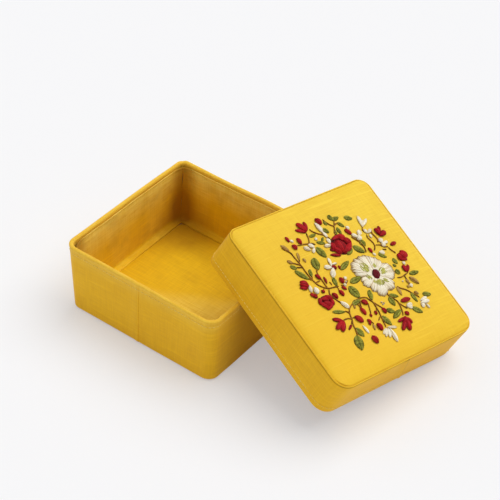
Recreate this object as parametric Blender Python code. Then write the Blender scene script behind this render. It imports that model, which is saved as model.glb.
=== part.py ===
"""Cloth-covered keepsake box with a lift-off lid and an embroidered, padded top.

The base stands on the floor about the origin, with its walls along X and Y. The lid is taken off and
leans on it: one corner stands on the floor and two of its open edges rest on the base's rim.
All lengths are in metres.
"""
import math

import bmesh
import bpy
from mathutils import Matrix, Vector

MM = 0.001

# Base, outside sizes over the rolled rim, and how far each wall is drawn in at the floor
BASE_WIDTH = 150.0 * MM
BASE_DEPTH = 150.0 * MM
BASE_HEIGHT = 64.0 * MM
BASE_CORNER = 10.5 * MM
BASE_TAPER = 1.3 * MM

# Sheets and boards
SILK = 0.45 * MM
LINING_SILK = 0.4 * MM
LAYER_GAP = 0.3 * MM
BASE_BOARD = 1.8 * MM
FLOOR_BOARD = 1.6 * MM
FLOOR_CARD = 1.0 * MM
LID_BOARD = 1.0 * MM
LID_TOP_BOARD = 1.6 * MM

# Base rim, foot and floor
RIM_ROLL = 1.9 * MM
RIM_STAND_OUT = 0.4 * MM
RIM_TURN_IN = 9.0 * MM
BOTTOM_ROUND = 2.0 * MM
BOTTOM_TURN_UNDER = 8.0 * MM
UNDERSIDE_INSET = 5.0 * MM
LINING_DROP = 5.5 * MM
FOOT_RUN = 5.5 * MM
FOOT_RISE = 1.8 * MM
CREASE_SPREAD = 10.0 * MM
PAD_GROOVE = 0.8 * MM
PAD_CORNER = 2.0 * MM
PAD_TURN_UNDER = 8.0 * MM
JOIN_SLIT = 0.3 * MM
BASE_JOIN_SHARE = 0.489

# Lid, whose width and depth follow the base
LID_CLEARANCE = 0.4 * MM
LID_SKIRT = 39.0 * MM
LID_TURN_IN = 10.0 * MM
LID_SHOULDER = 1.2 * MM
LID_TOP_TURN_IN = 9.0 * MM
LID_CROWN = 4.6 * MM
LID_EDGE_RISE = 0.6 * MM
PIPING_CORD = 0.5 * MM
PIPING_CLOTH = 0.25 * MM
PIPING_INSET = 0.85 * MM
LID_JOIN_SHARE = 0.521
LID_JOIN_SLANT_SHARE = -0.42
CROWN_POWER = 6

# Running stitches round both rims
STITCH_FROM_EDGE = 6.0 * MM
STITCH_THREAD = 0.28 * MM

# How the lid leans: where it meets the base's rim, and how far it is turned from that line
LEAN_RIGHT_SHARE = -0.257
LEAN_BACK_SHARE = 0.366
LEAN_TURN = math.radians(21.15)
LEAN_GAP = 0.4 * MM
FLOOR_GAP = 0.2 * MM

# Relief of the embroidery over the top cloth
THREAD_GAP = 0.3 * MM
LARGE_ROSE_RELIEF = 2.4 * MM
ROSE_RELIEF = 1.8 * MM
FLOWER_RELIEF = 1.2 * MM
CENTRE_RELIEF = 1.5 * MM
TULIP_RELIEF = 1.5 * MM
LEAF_RELIEF = 1.0 * MM
STEM_THREAD = 0.45 * MM
SHOOT_SHARE = 0.9

# Sizes of the embroidered motifs
LARGE_ROSE = 18.0 * MM
LARGE_FLOWER = 39.0 * MM
FLOWER_CENTRE = 9.5 * MM
FLOWER_CENTRE_HOLE = 11.0 * MM
FLOWER_BOWL = 0.5 * MM
SMALL_ROSE = 12.5 * MM
TULIP = 9.0 * MM
WHITE_FLOWER = 10.0 * MM
LEAF_WIDTH = 6.0 * MM

# Levels of a satin-stitched motif, each a share of its outline and of its relief
PLUMP_SHARES = ((1.0, 0.35), (0.8, 0.8), (0.45, 1.0))
LOW_SHARES = ((0.94, 0.5), (0.55, 1.0))

# Places of the motifs, as shares of the lid's width and depth from the middle of the spray, and the
# place of that middle from the lid's own
SPRAY_SHARES = (0.005, 0.01)
LARGE_ROSE_SHARES = (0.046, 0.182)
LARGE_FLOWER_SHARES = (0.113, -0.04)

# Petals of the large flower, each a direction in degrees and a share of half the flower
PETAL_SHARES = ((130.0, 1.12), (75.0, 0.95), (12.0, 1.02), (-35.0, 0.94), (-95.0, 1.0), (-163.0, 0.82))

# Small roses: place and share of the rose's size
ROSE_SHARES = (
    ("rose_left", (-0.27, -0.071), 1.0),
    ("rose_edge", (-0.32, 0.057), 0.72),
    ("rose_right", (0.347, -0.006), 0.84),
)

# Tulips: place, directions of the petals in degrees and share of the tulip's size
TULIP_SHARES = (
    ("tulip_upper", (-0.096, 0.314), (75.0, 113.0, 155.0), 1.0),
    ("tulip_upper_right", (0.314, 0.152), (8.0, 52.0, 95.0), 0.72),
    ("tulip_right", (0.302, -0.088), (40.0, 85.0), 0.67),
    ("tulip_lower_left", (-0.276, -0.201), (128.0, 180.0, 240.0), 0.78),
    ("tulip_lower_right", (0.09, -0.326), (170.0, 215.0, 260.0, 310.0), 0.83),
)

# White flowers: place, directions of the petals in degrees and share of the flower's size
WHITE_SHARES = (
    ("white_flower_rose", (-0.033, 0.212), (20.0, 110.0, 190.0, 280.0), 0.45),
    ("white_flower_upper_left", (-0.14, 0.222), (0.0, 140.0, 230.0), 0.52),
    ("white_flower_top", (0.232, 0.224), (28.0, 76.0), 1.0),
    ("white_flower_inner", (0.176, 0.188), (60.0, 140.0, 215.0, 290.0), 0.5),
    ("white_flower_upper_right", (0.295, 0.105), (30.0, 110.0, 200.0, 310.0), 0.42),
    ("white_flower_left", (-0.105, 0.086), (70.0, 170.0, 235.0), 0.65),
    ("white_flower_right", (0.272, -0.287), (20.0, 120.0, 200.0, 290.0), 0.5),
    ("white_flower_bottom", (-0.045, -0.327), (205.0, 245.0, 285.0, 330.0), 0.8),
)

# Leaves: both ends and share of the leaf's width
LEAF_SHARES = (
    ("leaf_upper", (-0.103, 0.204), (-0.092, 0.148), 0.87),
    ("leaf_upper_left", (-0.175, 0.165), (-0.182, 0.104), 0.8),
    ("leaf_inner", (-0.056, 0.062), (0.0, 0.068), 0.67),
    ("leaf_left", (-0.315, 0.146), (-0.28, 0.082), 0.7),
    ("leaf_centre_left", (-0.06, -0.028), (-0.002, -0.026), 0.83),
    ("leaf_middle", (-0.083, -0.043), (-0.07, -0.115), 1.0),
    ("leaf_lower_left", (-0.268, -0.128), (-0.205, -0.15), 0.67),
    ("leaf_bottom", (-0.235, -0.297), (-0.262, -0.367), 1.08),
    ("leaf_lower", (0.093, -0.269), (0.035, -0.291), 0.73),
)

# Stems: the places that the main line runs through, and then those of each side shoot
STEM_SHARES = (
    ("left",
     ((-0.268, 0.25), (-0.265, 0.17), (-0.262, 0.1), (-0.253, 0.04), (-0.209, -0.005), (-0.167, -0.023),
      (-0.11, -0.035)),
     ((-0.2, -0.009), (-0.198, 0.03), (-0.2, 0.08)),
     ((-0.2, -0.009), (-0.214, -0.04), (-0.205, -0.08), (-0.17, -0.112))),
    ("bottom",
     ((-0.045, -0.125), (-0.11, -0.137), (-0.146, -0.14), (-0.184, -0.162), (-0.209, -0.217),
      (-0.22, -0.27)),
     ((-0.06, -0.128), (-0.025, -0.165), (-0.024, -0.219), (-0.036, -0.28))),
    ("lower_right",
     ((0.1, -0.18), (0.12, -0.218), (0.112, -0.25), (0.103, -0.288)),
     ((0.12, -0.215), (0.137, -0.245), (0.15, -0.27))),
    ("right",
     ((0.195, -0.15), (0.214, -0.173), (0.238, -0.205), (0.25, -0.235)),
     ((0.2, -0.156), (0.188, -0.18), (0.178, -0.196))),
    ("side",
     ((0.228, -0.108), (0.25, -0.109), (0.28, -0.107))),
    ("top",
     ((0.04, 0.34), (0.058, 0.311), (0.078, 0.289), (0.06, 0.255)),
     ((0.077, 0.289), (0.1, 0.294), (0.125, 0.29))),
    ("upper",
     ((0.225, 0.17), (0.238, 0.127), (0.232, 0.099), (0.212, 0.08))),
    ("long",
     ((-0.072, 0.32), (-0.041, 0.284), (-0.02, 0.264))),
)

CORNER_STEPS = 6
CROWN_SIDE_STEPS = 4
LEAF_STEPS = 14

# Heights and insets that follow from the sizes above; insets run inwards from the outer face
UNDERSIDE_TOP = SILK
FLANGE_LOW = UNDERSIDE_TOP + LAYER_GAP
WALL_LOW = FLANGE_LOW + SILK + LAYER_GAP
FLOOR_TOP = WALL_LOW + FLOOR_BOARD
WALL_IN = RIM_STAND_OUT + SILK + LAYER_GAP
WALL_OUT = WALL_IN + BASE_BOARD
TURN_IN_FACE = WALL_OUT + LAYER_GAP + SILK
LINING_FACE = TURN_IN_FACE + LAYER_GAP + LINING_SILK
PAD_INSET = LINING_FACE + FOOT_RUN + PAD_GROOVE + BASE_TAPER

LID_WALL = SILK + LID_BOARD + LINING_SILK + 2 * LAYER_GAP
LID_WIDTH = BASE_WIDTH + 2 * (LID_CLEARANCE + LID_WALL)
LID_DEPTH = BASE_DEPTH + 2 * (LID_CLEARANCE + LID_WALL)
LID_CORNER = BASE_CORNER + LID_CLEARANCE + LID_WALL
PIPING = PIPING_CORD + LAYER_GAP + PIPING_CLOTH
SHOULDER_TOP = LID_SKIRT - 2 * PIPING - LAYER_GAP
TOP_INSET = PIPING_INSET + PIPING + LAYER_GAP
TOP_EDGE = SHOULDER_TOP + LAYER_GAP + LID_EDGE_RISE
BOARD_TOP = SHOULDER_TOP - SILK - LAYER_GAP


def clear_scene():
    for thing in list(bpy.data.objects):
        bpy.data.objects.remove(thing, do_unlink=True)


def material(name, colour, roughness, sheen=0.0):
    """One finish, made once and shared by name."""
    made = bpy.data.materials.get(name)
    if made:
        return made
    made = bpy.data.materials.new(name)
    made.use_nodes = True
    shader = made.node_tree.nodes["Principled BSDF"]
    shader.inputs["Base Color"].default_value = (*colour, 1.0)
    shader.inputs["Roughness"].default_value = roughness
    shader.inputs["Metallic"].default_value = 0.0
    shader.inputs["Sheen Weight"].default_value = sheen
    made.diffuse_color = (*colour, 1.0)
    return made


def golden_silk():
    return material("golden_silk", (0.82, 0.50, 0.035), 0.55, 0.3)


def amber_lining():
    return material("amber_lining", (0.62, 0.34, 0.02), 0.6, 0.2)


def grey_board():
    return material("grey_board", (0.42, 0.40, 0.37), 0.9)


def white_cotton():
    return material("white_cotton", (0.75, 0.70, 0.60), 0.9)


def thread(name, colour):
    return material(name, colour, 0.5, 0.2)


def pale_thread():
    return thread("pale_thread", (0.86, 0.66, 0.22))


def crimson():
    return thread("crimson_thread", (0.42, 0.012, 0.02))


def cream():
    return thread("cream_thread", (0.86, 0.80, 0.62))


def leaf_green():
    return thread("leaf_thread", (0.16, 0.25, 0.045))


def stem_brown():
    return thread("stem_thread", (0.22, 0.08, 0.02))


def skin(name, rings, finish, parent=None, closed=False, start=None, end=None):
    """Joins rings of points into one closed body, with its faces pointing out.

    The ends are flat caps, or fans round the points given as start and end. A closed skin has no
    ends, because its last ring meets its first.
    """
    body = bmesh.new()
    made_rings = [[body.verts.new(point) for point in ring] for ring in rings]
    count = len(rings[0])
    pairs = list(zip(made_rings, made_rings[1:]))
    if closed:
        pairs.append((made_rings[-1], made_rings[0]))
    for near, far in pairs:
        for k in range(count):
            following = (k + 1) % count
            body.faces.new((near[k], near[following], far[following], far[k]))
    if not closed:
        for ring, middle in ((made_rings[0], start), (made_rings[-1], end)):
            if middle is None:
                body.faces.new(ring)
                continue
            hub = body.verts.new(middle)
            for k in range(count):
                body.faces.new((ring[k], ring[(k + 1) % count], hub))
    bmesh.ops.recalc_face_normals(body, faces=body.faces)
    mesh = bpy.data.meshes.new(name)
    body.to_mesh(mesh)
    body.free()
    mesh.shade_smooth()
    mesh.set_sharp_from_angle(angle=math.radians(35.0))
    mesh.materials.append(finish)
    made = bpy.data.objects.new(name, mesh)
    bpy.context.scene.collection.objects.link(made)
    made.parent = parent
    return made


def outline(width, depth, corner, side_steps=1, join_share=0.5):
    """Stations round a rounded rectangle, each a point and its outward direction.

    They run anticlockwise from the join, which lies on the front side at join_share of its length,
    and back to it.
    """
    x, y = width / 2 - corner, depth / 2 - corner
    corners = ((x, -y, -90.0), (x, y, 0.0), (-x, y, 90.0), (-x, -y, 180.0))
    join = Vector((width * (join_share - 0.5), -depth / 2))
    stations = [(join, Vector((0.0, -1.0)))]

    def side(end, steps):
        start, out = stations[-1]
        for step in range(1, steps):
            stations.append((start.lerp(end, step / steps), out))

    half_steps = max(1, side_steps // 2)
    side(Vector((x, -depth / 2)), half_steps)
    for index, (cx, cy, angle) in enumerate(corners):
        for step in range(CORNER_STEPS + 1):
            turn = math.radians(angle + 90.0 * step / CORNER_STEPS)
            out = Vector((math.cos(turn), math.sin(turn)))
            stations.append((Vector((cx, cy)) + out * corner, out))
        if index < len(corners) - 1:
            side(Vector(corners[index + 1][:2]) + out * corner, side_steps)
    side(join, half_steps)
    stations.append((join.copy(), stations[0][1]))
    return stations


def sweep(name, stations, section, finish, parent=None, slit=0.0, slant=0.0):
    """Carries a closed section, points of (inset, height), round the stations.

    With a slit the strip stays open at its join, which slants by that share of the height.
    """
    middle = (min(z for _, z in section) + max(z for _, z in section)) / 2
    used = stations if slit else stations[:-1]
    rings = []
    for index, (point, out) in enumerate(used):
        side = 0
        if slit and index == 0:
            side = 1
        if slit and index == len(used) - 1:
            side = -1
        ring = []
        for inset, z in section:
            place = point - out * inset
            along = side * slit / 2 + abs(side) * slant * (z - middle)
            ring.append((place.x + along, place.y, z))
        rings.append(ring)
    return skin(name, rings, finish, parent, closed=not slit)


def arc(inset, height, radius, start, end, steps):
    """Points on an arc in a section, in degrees: 0 points outwards and 90 up."""
    points = []
    for step in range(steps + 1):
        turn = math.radians(start + (end - start) * step / steps)
        points.append((inset - radius * math.cos(turn), height + radius * math.sin(turn)))
    return points


def sheet(line, thickness):
    """A closed section: a line, and the same line set off to its left by the thickness."""
    points = [Vector(point) for point in line]
    back = []
    for index, point in enumerate(points):
        before = point - points[index - 1] if index else points[1] - point
        after = points[index + 1] - point if index < len(points) - 1 else before
        before.normalize()
        after.normalize()
        mean = (before + after).normalized()
        left = Vector((-mean.y, mean.x))
        back.append(point + left * thickness / mean.dot(after))
    return [tuple(point) for point in points] + [tuple(point) for point in reversed(back)]


def panel_ring(width, depth, corner, inset, height):
    """A rounded rectangle drawn in by an inset, at one height."""
    radius = max(corner - inset, LAYER_GAP)
    stations = outline(width - 2 * inset, depth - 2 * inset, radius)[1:-1]
    return [(point.x, point.y, height) for point, _ in stations]


def panel(name, width, depth, corner, levels, finish, parent=None):
    """A flat panel whose outline follows the levels, each an inset and a height."""
    rings = [panel_ring(width, depth, corner, inset, height) for inset, height in levels]
    return skin(name, rings, finish, parent)


def drawn_in(z):
    """How far the leaning walls are drawn in at a height."""
    return BASE_TAPER * (1.0 - z / BASE_HEIGHT)


def leaned(section):
    """A section of the base whose walls lean out from the floor to the rim."""
    return [(inset + drawn_in(z), z) for inset, z in section]


def base_outline(join_share=0.5):
    return outline(BASE_WIDTH, BASE_DEPTH, BASE_CORNER, join_share=join_share)


def lid_outline(join_share=0.5):
    return outline(LID_WIDTH, LID_DEPTH, LID_CORNER, join_share=join_share)


def base_shell():
    """Underside, outer cloth rolled over its cord at the rim, and the boards inside."""
    panel("base_underside_panel", BASE_WIDTH, BASE_DEPTH, BASE_CORNER,
          ((UNDERSIDE_INSET, 0.0), (UNDERSIDE_INSET, UNDERSIDE_TOP)), amber_lining())
    roll_height = BASE_HEIGHT - RIM_ROLL
    inner_meet = 180.0 + math.degrees(math.acos((TURN_IN_FACE - RIM_ROLL) / RIM_ROLL))
    outer_meet = -math.degrees(math.acos((RIM_ROLL - RIM_STAND_OUT) / RIM_ROLL))
    line = [(TURN_IN_FACE, BASE_HEIGHT - RIM_TURN_IN)]
    line += arc(RIM_ROLL, roll_height, RIM_ROLL, inner_meet, outer_meet, 8)
    line += arc(RIM_STAND_OUT + BOTTOM_ROUND, FLANGE_LOW + BOTTOM_ROUND, BOTTOM_ROUND, 0.0, -90.0, 3)
    line += [(BOTTOM_TURN_UNDER, FLANGE_LOW)]
    sweep("base_outer_cloth", base_outline(BASE_JOIN_SHARE), leaned(sheet(line, SILK)), golden_silk(),
          slit=JOIN_SLIT)
    wall_high = roll_height - RIM_ROLL
    section = [(WALL_IN, wall_high), (WALL_IN, WALL_LOW + BOTTOM_ROUND)]
    section += [(WALL_IN + BOTTOM_ROUND / 4, WALL_LOW + BOTTOM_ROUND / 4)]
    section += [(WALL_OUT, WALL_LOW), (WALL_OUT, wall_high)]
    sweep("base_wall_board", base_outline(), leaned(section), grey_board(), slit=JOIN_SLIT)
    inside = WALL_OUT + LAYER_GAP + BASE_TAPER
    panel("base_floor_board", BASE_WIDTH, BASE_DEPTH, BASE_CORNER,
          ((inside, WALL_LOW), (inside, FLOOR_TOP)), grey_board())
    cord = arc(RIM_ROLL, roll_height, RIM_ROLL - SILK - LAYER_GAP, 0.0, 300.0, 5)
    sweep("base_rim_cord", base_outline(), leaned(cord), white_cotton())


def lining_side(name, length, across, turn):
    """One lining cloth, from below the rim down and out over the foot.

    It is drawn in towards each corner, where it meets its neighbour in a sharp crease that clears
    the rounded wall behind it.
    """
    crease = (BASE_CORNER - TURN_IN_FACE) * (1.0 - math.sqrt(0.5)) + 2 * LAYER_GAP
    low = FLOOR_TOP + LAYER_GAP
    foot_low = low + LINING_SILK
    line = [(LINING_FACE, BASE_HEIGHT - LINING_DROP), (LINING_FACE, foot_low + FOOT_RISE)]
    line += [(LINING_FACE + FOOT_RISE / 3, foot_low + FOOT_RISE / 3), (LINING_FACE + FOOT_RISE, foot_low)]
    line += [(LINING_FACE + FOOT_RUN, foot_low)]
    section = sheet(line, -LINING_SILK)
    drawn = 1.0 - 2 * CREASE_SPREAD / length
    corner_shares = [drawn + (1.0 - drawn) * step / 4 for step in range(5)]
    shares = [-share for share in reversed(corner_shares)] + corner_shares
    rings = []
    for share in shares:
        ease = max(0.0, (abs(share) - drawn) / (1.0 - drawn)) ** 2
        ring = []
        for inset, z in section:
            over_foot = min(1.0, max(0.0, inset - LINING_FACE) / FOOT_RUN)
            pull = crease * (1.0 - over_foot)
            face = inset + drawn_in(z)
            half = length / 2 - face - pull - LAYER_GAP
            ring.append((share * half, face + pull * ease - across / 2, z))
        rings.append(ring)
    made = skin(name, rings, amber_lining())
    made.rotation_euler.z = turn


def base_lining():
    """Four lining cloths, and the covered card that drops in between their feet."""
    for name, length, across, degrees in (("front", BASE_WIDTH, BASE_DEPTH, 0.0),
                                          ("right", BASE_DEPTH, BASE_WIDTH, 90.0),
                                          ("back", BASE_WIDTH, BASE_DEPTH, 180.0),
                                          ("left", BASE_DEPTH, BASE_WIDTH, 270.0)):
        lining_side("base_lining_" + name, length, across, math.radians(degrees))
    low = FLOOR_TOP + LAYER_GAP
    card_low = low + SILK + LAYER_GAP
    card_high = card_low + FLOOR_CARD
    high = card_high + LAYER_GAP + SILK
    width, depth = BASE_WIDTH - 2 * PAD_INSET, BASE_DEPTH - 2 * PAD_INSET
    card_inset = SILK + LAYER_GAP
    panel("base_floor_card", width, depth, PAD_CORNER, ((card_inset, card_low), (card_inset, card_high)),
          grey_board())
    soft = SILK / 2
    levels = ((SILK, high - SILK), (SILK, low + SILK), (PAD_TURN_UNDER, low + SILK))
    levels += ((PAD_TURN_UNDER, low), (soft, low), (0.0, low + soft), (0.0, high - soft), (soft, high))
    panel("base_floor_cloth", width, depth, PAD_CORNER, levels, amber_lining())


def lid_skirt(lid):
    """Boards, the side cloth folded round the open rim, and the lining. The open rim is at height 0."""
    board_in = SILK + LAYER_GAP
    board_out = board_in + LID_BOARD
    fold = board_in + LID_BOARD / 4
    line = [(LID_WALL, LID_TURN_IN)]
    line += arc(LID_WALL - fold, fold, fold, 180.0, 270.0, 2)
    line += arc(fold, fold, fold, 270.0, 360.0, 2)
    line += arc(LID_SHOULDER, SHOULDER_TOP - LID_SHOULDER, LID_SHOULDER, 0.0, 90.0, 2)
    line += [(LID_TOP_TURN_IN, SHOULDER_TOP)]
    sweep("lid_side_cloth", lid_outline(LID_JOIN_SHARE), sheet(line, -SILK), golden_silk(), lid,
          slit=JOIN_SLIT, slant=LID_JOIN_SLANT_SHARE)
    section = [(board_in, BOARD_TOP - LID_SHOULDER), (board_in, fold), (fold, board_in)]
    section += [(LID_WALL - fold, board_in), (board_out, fold)]
    section += [(board_out, BOARD_TOP), (board_in + LID_SHOULDER / 2, BOARD_TOP)]
    sweep("lid_wall_board", lid_outline(), section, grey_board(), lid, slit=JOIN_SLIT)
    inside = board_out + LAYER_GAP
    top_low = BOARD_TOP - LID_TOP_BOARD
    panel("lid_top_board", LID_WIDTH, LID_DEPTH, LID_CORNER, ((inside, top_low), (inside, BOARD_TOP)),
          grey_board(), lid)
    lining_high = top_low - LAYER_GAP
    panel("lid_top_lining", LID_WIDTH, LID_DEPTH, LID_CORNER,
          ((inside, lining_high - LINING_SILK), (inside, lining_high)), amber_lining(), lid)
    low, high = LID_TURN_IN + LAYER_GAP, lining_high - LINING_SILK - LAYER_GAP
    section = [(LID_WALL, low), (inside, low), (inside, high), (LID_WALL, high)]
    sweep("lid_wall_lining", lid_outline(), section, amber_lining(), lid, slit=JOIN_SLIT)


def lid_piping(lid):
    """The thin covered cord round the top's edge; its cover is open towards the top."""
    centre = SHOULDER_TOP + LAYER_GAP + PIPING
    cord = arc(PIPING_INSET, centre, PIPING_CORD, 0.0, 300.0, 5)
    sweep("lid_piping_cord", lid_outline(), cord, white_cotton(), lid)
    cover = sheet(arc(PIPING_INSET, centre, PIPING, 225.0, 495.0, 6), -PIPING_CLOTH)
    sweep("lid_piping_cloth", lid_outline(), cover, golden_silk(), lid)


def crown(x, y):
    """How far the padded top rises over its edge, at a place on the lid."""
    across = 1.0 - abs(2 * x / (LID_WIDTH - 2 * TOP_INSET)) ** CROWN_POWER
    along = 1.0 - abs(2 * y / (LID_DEPTH - 2 * TOP_INSET)) ** CROWN_POWER
    return LID_CROWN * max(across, 0.0) * max(along, 0.0)


def top_outline(inset):
    """The lid's outline, drawn in by an inset."""
    stations = outline(LID_WIDTH - 2 * inset, LID_DEPTH - 2 * inset, LID_CORNER - inset, CROWN_SIDE_STEPS)
    return [point for point, _ in stations[:-1]]


def crowned_ring(inset, share, height):
    """The top's outline, drawn in by an inset, shrunk to a share and laid on the crown."""
    ring = []
    for point in top_outline(inset):
        x, y = point.x * share, point.y * share
        ring.append((x, y, height + crown(x, y)))
    return ring


def flat_ring(inset, height):
    return [(point.x, point.y, height) for point in top_outline(inset)]


def lid_top(lid):
    """The padding and the crowned top cloth, tucked down inside the piping."""
    shares = (1.0, 0.965, 0.9, 0.81, 0.68, 0.4)
    low = SHOULDER_TOP + LAYER_GAP
    under = TOP_INSET + SILK
    drop = SILK + LAYER_GAP
    outer = [flat_ring(TOP_INSET, low)] + [crowned_ring(TOP_INSET, share, TOP_EDGE) for share in shares]
    inner = [crowned_ring(under, share, TOP_EDGE - SILK) for share in reversed(shares)]
    inner.append(flat_ring(under, low))
    peak = TOP_EDGE + LID_CROWN
    rings = list(reversed(outer)) + list(reversed(inner))
    skin("lid_top_cloth", rings, golden_silk(), lid, start=(0.0, 0.0, peak), end=(0.0, 0.0, peak - SILK))
    inset = under + LAYER_GAP
    rings = [flat_ring(inset, low)]
    rings += [crowned_ring(inset, share, TOP_EDGE - drop) for share in shares]
    skin("lid_top_wadding", rings, white_cotton(), lid, end=(0.0, 0.0, peak - drop))


def stitch_section(face, height):
    """Half a thread that lies on a face, which is given as an inset."""
    return [(face, height - STITCH_THREAD), (face, height + STITCH_THREAD), (face - STITCH_THREAD, height)]


def rim_stitches():
    """The stitching thread that runs round below the base's rim."""
    section = leaned(stitch_section(RIM_STAND_OUT - LAYER_GAP, BASE_HEIGHT - STITCH_FROM_EDGE))
    sweep("base_rim_stitches", base_outline(), section, pale_thread())


def skirt_stitches(lid):
    """The stitching thread that runs round above the lid's open rim."""
    section = stitch_section(-LAYER_GAP, STITCH_FROM_EDGE)
    sweep("lid_rim_stitches", lid_outline(), section, pale_thread(), lid)


def on_top(x, y, lift=0.0):
    """A point over the top cloth, clear of it by the thread's gap."""
    return (x, y, TOP_EDGE + crown(x, y) + THREAD_GAP + lift)


def lid_place(x_share, y_share):
    return Vector(((SPRAY_SHARES[0] + x_share) * LID_WIDTH, (SPRAY_SHARES[1] + y_share) * LID_DEPTH))


def relief(name, centre, edge, levels, finish, lid, floor=0.0):
    """A raised motif: an outline round a centre, narrowed and lifted level by level.

    Each level is a share of the outline and a height over the motif's own floor.
    """
    def ring(share, lift):
        return [on_top(centre.x + point.x * share, centre.y + point.y * share, floor + lift)
                for point in edge]

    rings = [ring(1.0, 0.0)] + [ring(share, lift) for share, lift in levels]
    middle = levels[-1][1]
    skin("embroidery_" + name, rings, finish, lid, start=on_top(centre.x, centre.y, floor),
         end=on_top(centre.x, centre.y, floor + middle))


def domed(height, shares=LOW_SHARES):
    """Levels of a satin-stitched motif of this height."""
    return [(edge_share, height * height_share) for edge_share, height_share in shares]


def round_edge(radius, steps=16, lobes=5, notch_share=0.1):
    """A round outline with shallow notches between its petals."""
    edge = []
    for step in range(steps):
        angle = 2 * math.pi * step / steps
        reach = radius * (1.0 - notch_share * (0.5 - 0.5 * math.cos(lobes * angle)))
        edge.append(Vector((reach * math.cos(angle), reach * math.sin(angle))))
    return edge


def petal_edge(petals, narrow, back_share=0.25, steps=24):
    """Petals that fan out from one point, each a direction in degrees and a reach."""
    edge = []
    longest = max(reach for _, reach in petals)
    for step in range(steps):
        angle = 360.0 * step / steps
        reach = back_share * longest
        for direction, length in petals:
            away = (angle - direction + 180.0) % 360.0 - 180.0
            reach = max(reach, length * math.exp(-(away / narrow) ** 4))
        turn = math.radians(angle)
        edge.append(Vector((reach * math.cos(turn), reach * math.sin(turn))))
    return edge


def leaf(name, start, end, width, finish, lid):
    """A pointed satin-stitched leaf or bud between two places on the top."""
    start, end = lid_place(*start), lid_place(*end)
    along = (end - start) / 2
    across = Vector((-along.y, along.x)).normalized() * width / 2
    edge = []
    for step in range(LEAF_STEPS):
        angle = 2 * math.pi * step / LEAF_STEPS
        swell = math.copysign(abs(math.sin(angle)) ** 1.3, math.sin(angle))
        edge.append(along * math.cos(angle) + across * swell)
    relief(name, (start + end) / 2, edge, domed(LEAF_RELIEF), finish, lid)


def route(points, steps=3):
    """A smooth line through places on the top, given as shares."""
    places = [lid_place(*point) for point in points]
    smooth = []
    for index in range(len(places) - 1):
        before = places[max(index - 1, 0)]
        here, there = places[index], places[index + 1]
        after = places[min(index + 2, len(places) - 1)]
        for step in range(steps):
            t = step / steps
            smooth.append(0.5 * (2 * here + (there - before) * t
                                 + (2 * before - 5 * here + 4 * there - after) * t ** 2
                                 + (3 * here - before - 3 * there + after) * t ** 3))
    smooth.append(places[-1])
    return smooth


def stem_line(name, points, lid, size=STEM_THREAD):
    """One stem: a thread with a flat underside laid along a route on the top."""
    line = route(points)
    rings = []
    for index, place in enumerate(line):
        along = (line[min(index + 1, len(line) - 1)] - line[max(index - 1, 0)]).normalized()
        side = Vector((-along.y, along.x)) * size
        left, right = place - side, place + side
        rings.append([on_top(left.x, left.y), on_top(right.x, right.y),
                      on_top(place.x + side.x / 2, place.y + side.y / 2, size),
                      on_top(place.x - side.x / 2, place.y - side.y / 2, size)])
    return skin(name, rings, stem_brown(), lid)


def stem(name, lines, lid):
    """A stem and its side shoots, joined into one body."""
    made = stem_line("embroidery_stem_" + name, lines[0], lid)
    for index, points in enumerate(lines[1:]):
        shoot = stem_line("shoot_" + name + str(index + 1), points, lid, STEM_THREAD * SHOOT_SHARE)
        shoot.hide_render = True
        shoot.display_type = "WIRE"
        union = made.modifiers.new("shoot", "BOOLEAN")
        union.operation = "UNION"
        union.solver = "EXACT"
        union.object = shoot


def large_motifs(lid):
    """The large rose, and the large flower with its centre standing in the flower's bowl."""
    edge = round_edge(LARGE_ROSE / 2, 22)
    relief("large_rose", lid_place(*LARGE_ROSE_SHARES), edge, domed(LARGE_ROSE_RELIEF, PLUMP_SHARES),
           crimson(), lid)
    place = lid_place(*LARGE_FLOWER_SHARES)
    petals = [(direction, share * LARGE_FLOWER / 2) for direction, share in PETAL_SHARES]
    hole_share = FLOWER_CENTRE_HOLE / LARGE_FLOWER
    levels = ((1.0, FLOWER_RELIEF / 2), (0.9, FLOWER_RELIEF), (0.6, FLOWER_RELIEF * 0.8))
    levels += ((hole_share, FLOWER_BOWL), (hole_share / 2, FLOWER_BOWL))
    relief("large_flower", place, petal_edge(petals, 36.0, 0.7, 42), levels, cream(), lid)
    edge = [Vector((point.x * 0.75, point.y)) for point in round_edge(FLOWER_CENTRE / 2, 14)]
    relief("flower_centre", place, edge, domed(CENTRE_RELIEF), thread("maroon_thread", (0.16, 0.01, 0.03)),
           lid, FLOWER_BOWL + THREAD_GAP)


def small_motifs(lid):
    """Small roses, tulips, white flowers and leaves."""
    for name, place, share in ROSE_SHARES:
        edge = round_edge(share * SMALL_ROSE / 2)
        relief(name, lid_place(*place), edge, domed(ROSE_RELIEF), crimson(), lid)
    for name, place, directions, share in TULIP_SHARES:
        edge = petal_edge([(direction, share * TULIP) for direction in directions], 21.0)
        relief(name, lid_place(*place), edge, domed(TULIP_RELIEF), crimson(), lid)
    for name, place, directions, share in WHITE_SHARES:
        edge = petal_edge([(direction, share * WHITE_FLOWER) for direction in directions], 24.0)
        relief(name, lid_place(*place), edge, domed(FLOWER_RELIEF), cream(), lid)
    for name, start, end, share in LEAF_SHARES:
        leaf(name, start, end, share * LEAF_WIDTH, leaf_green(), lid)


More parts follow.
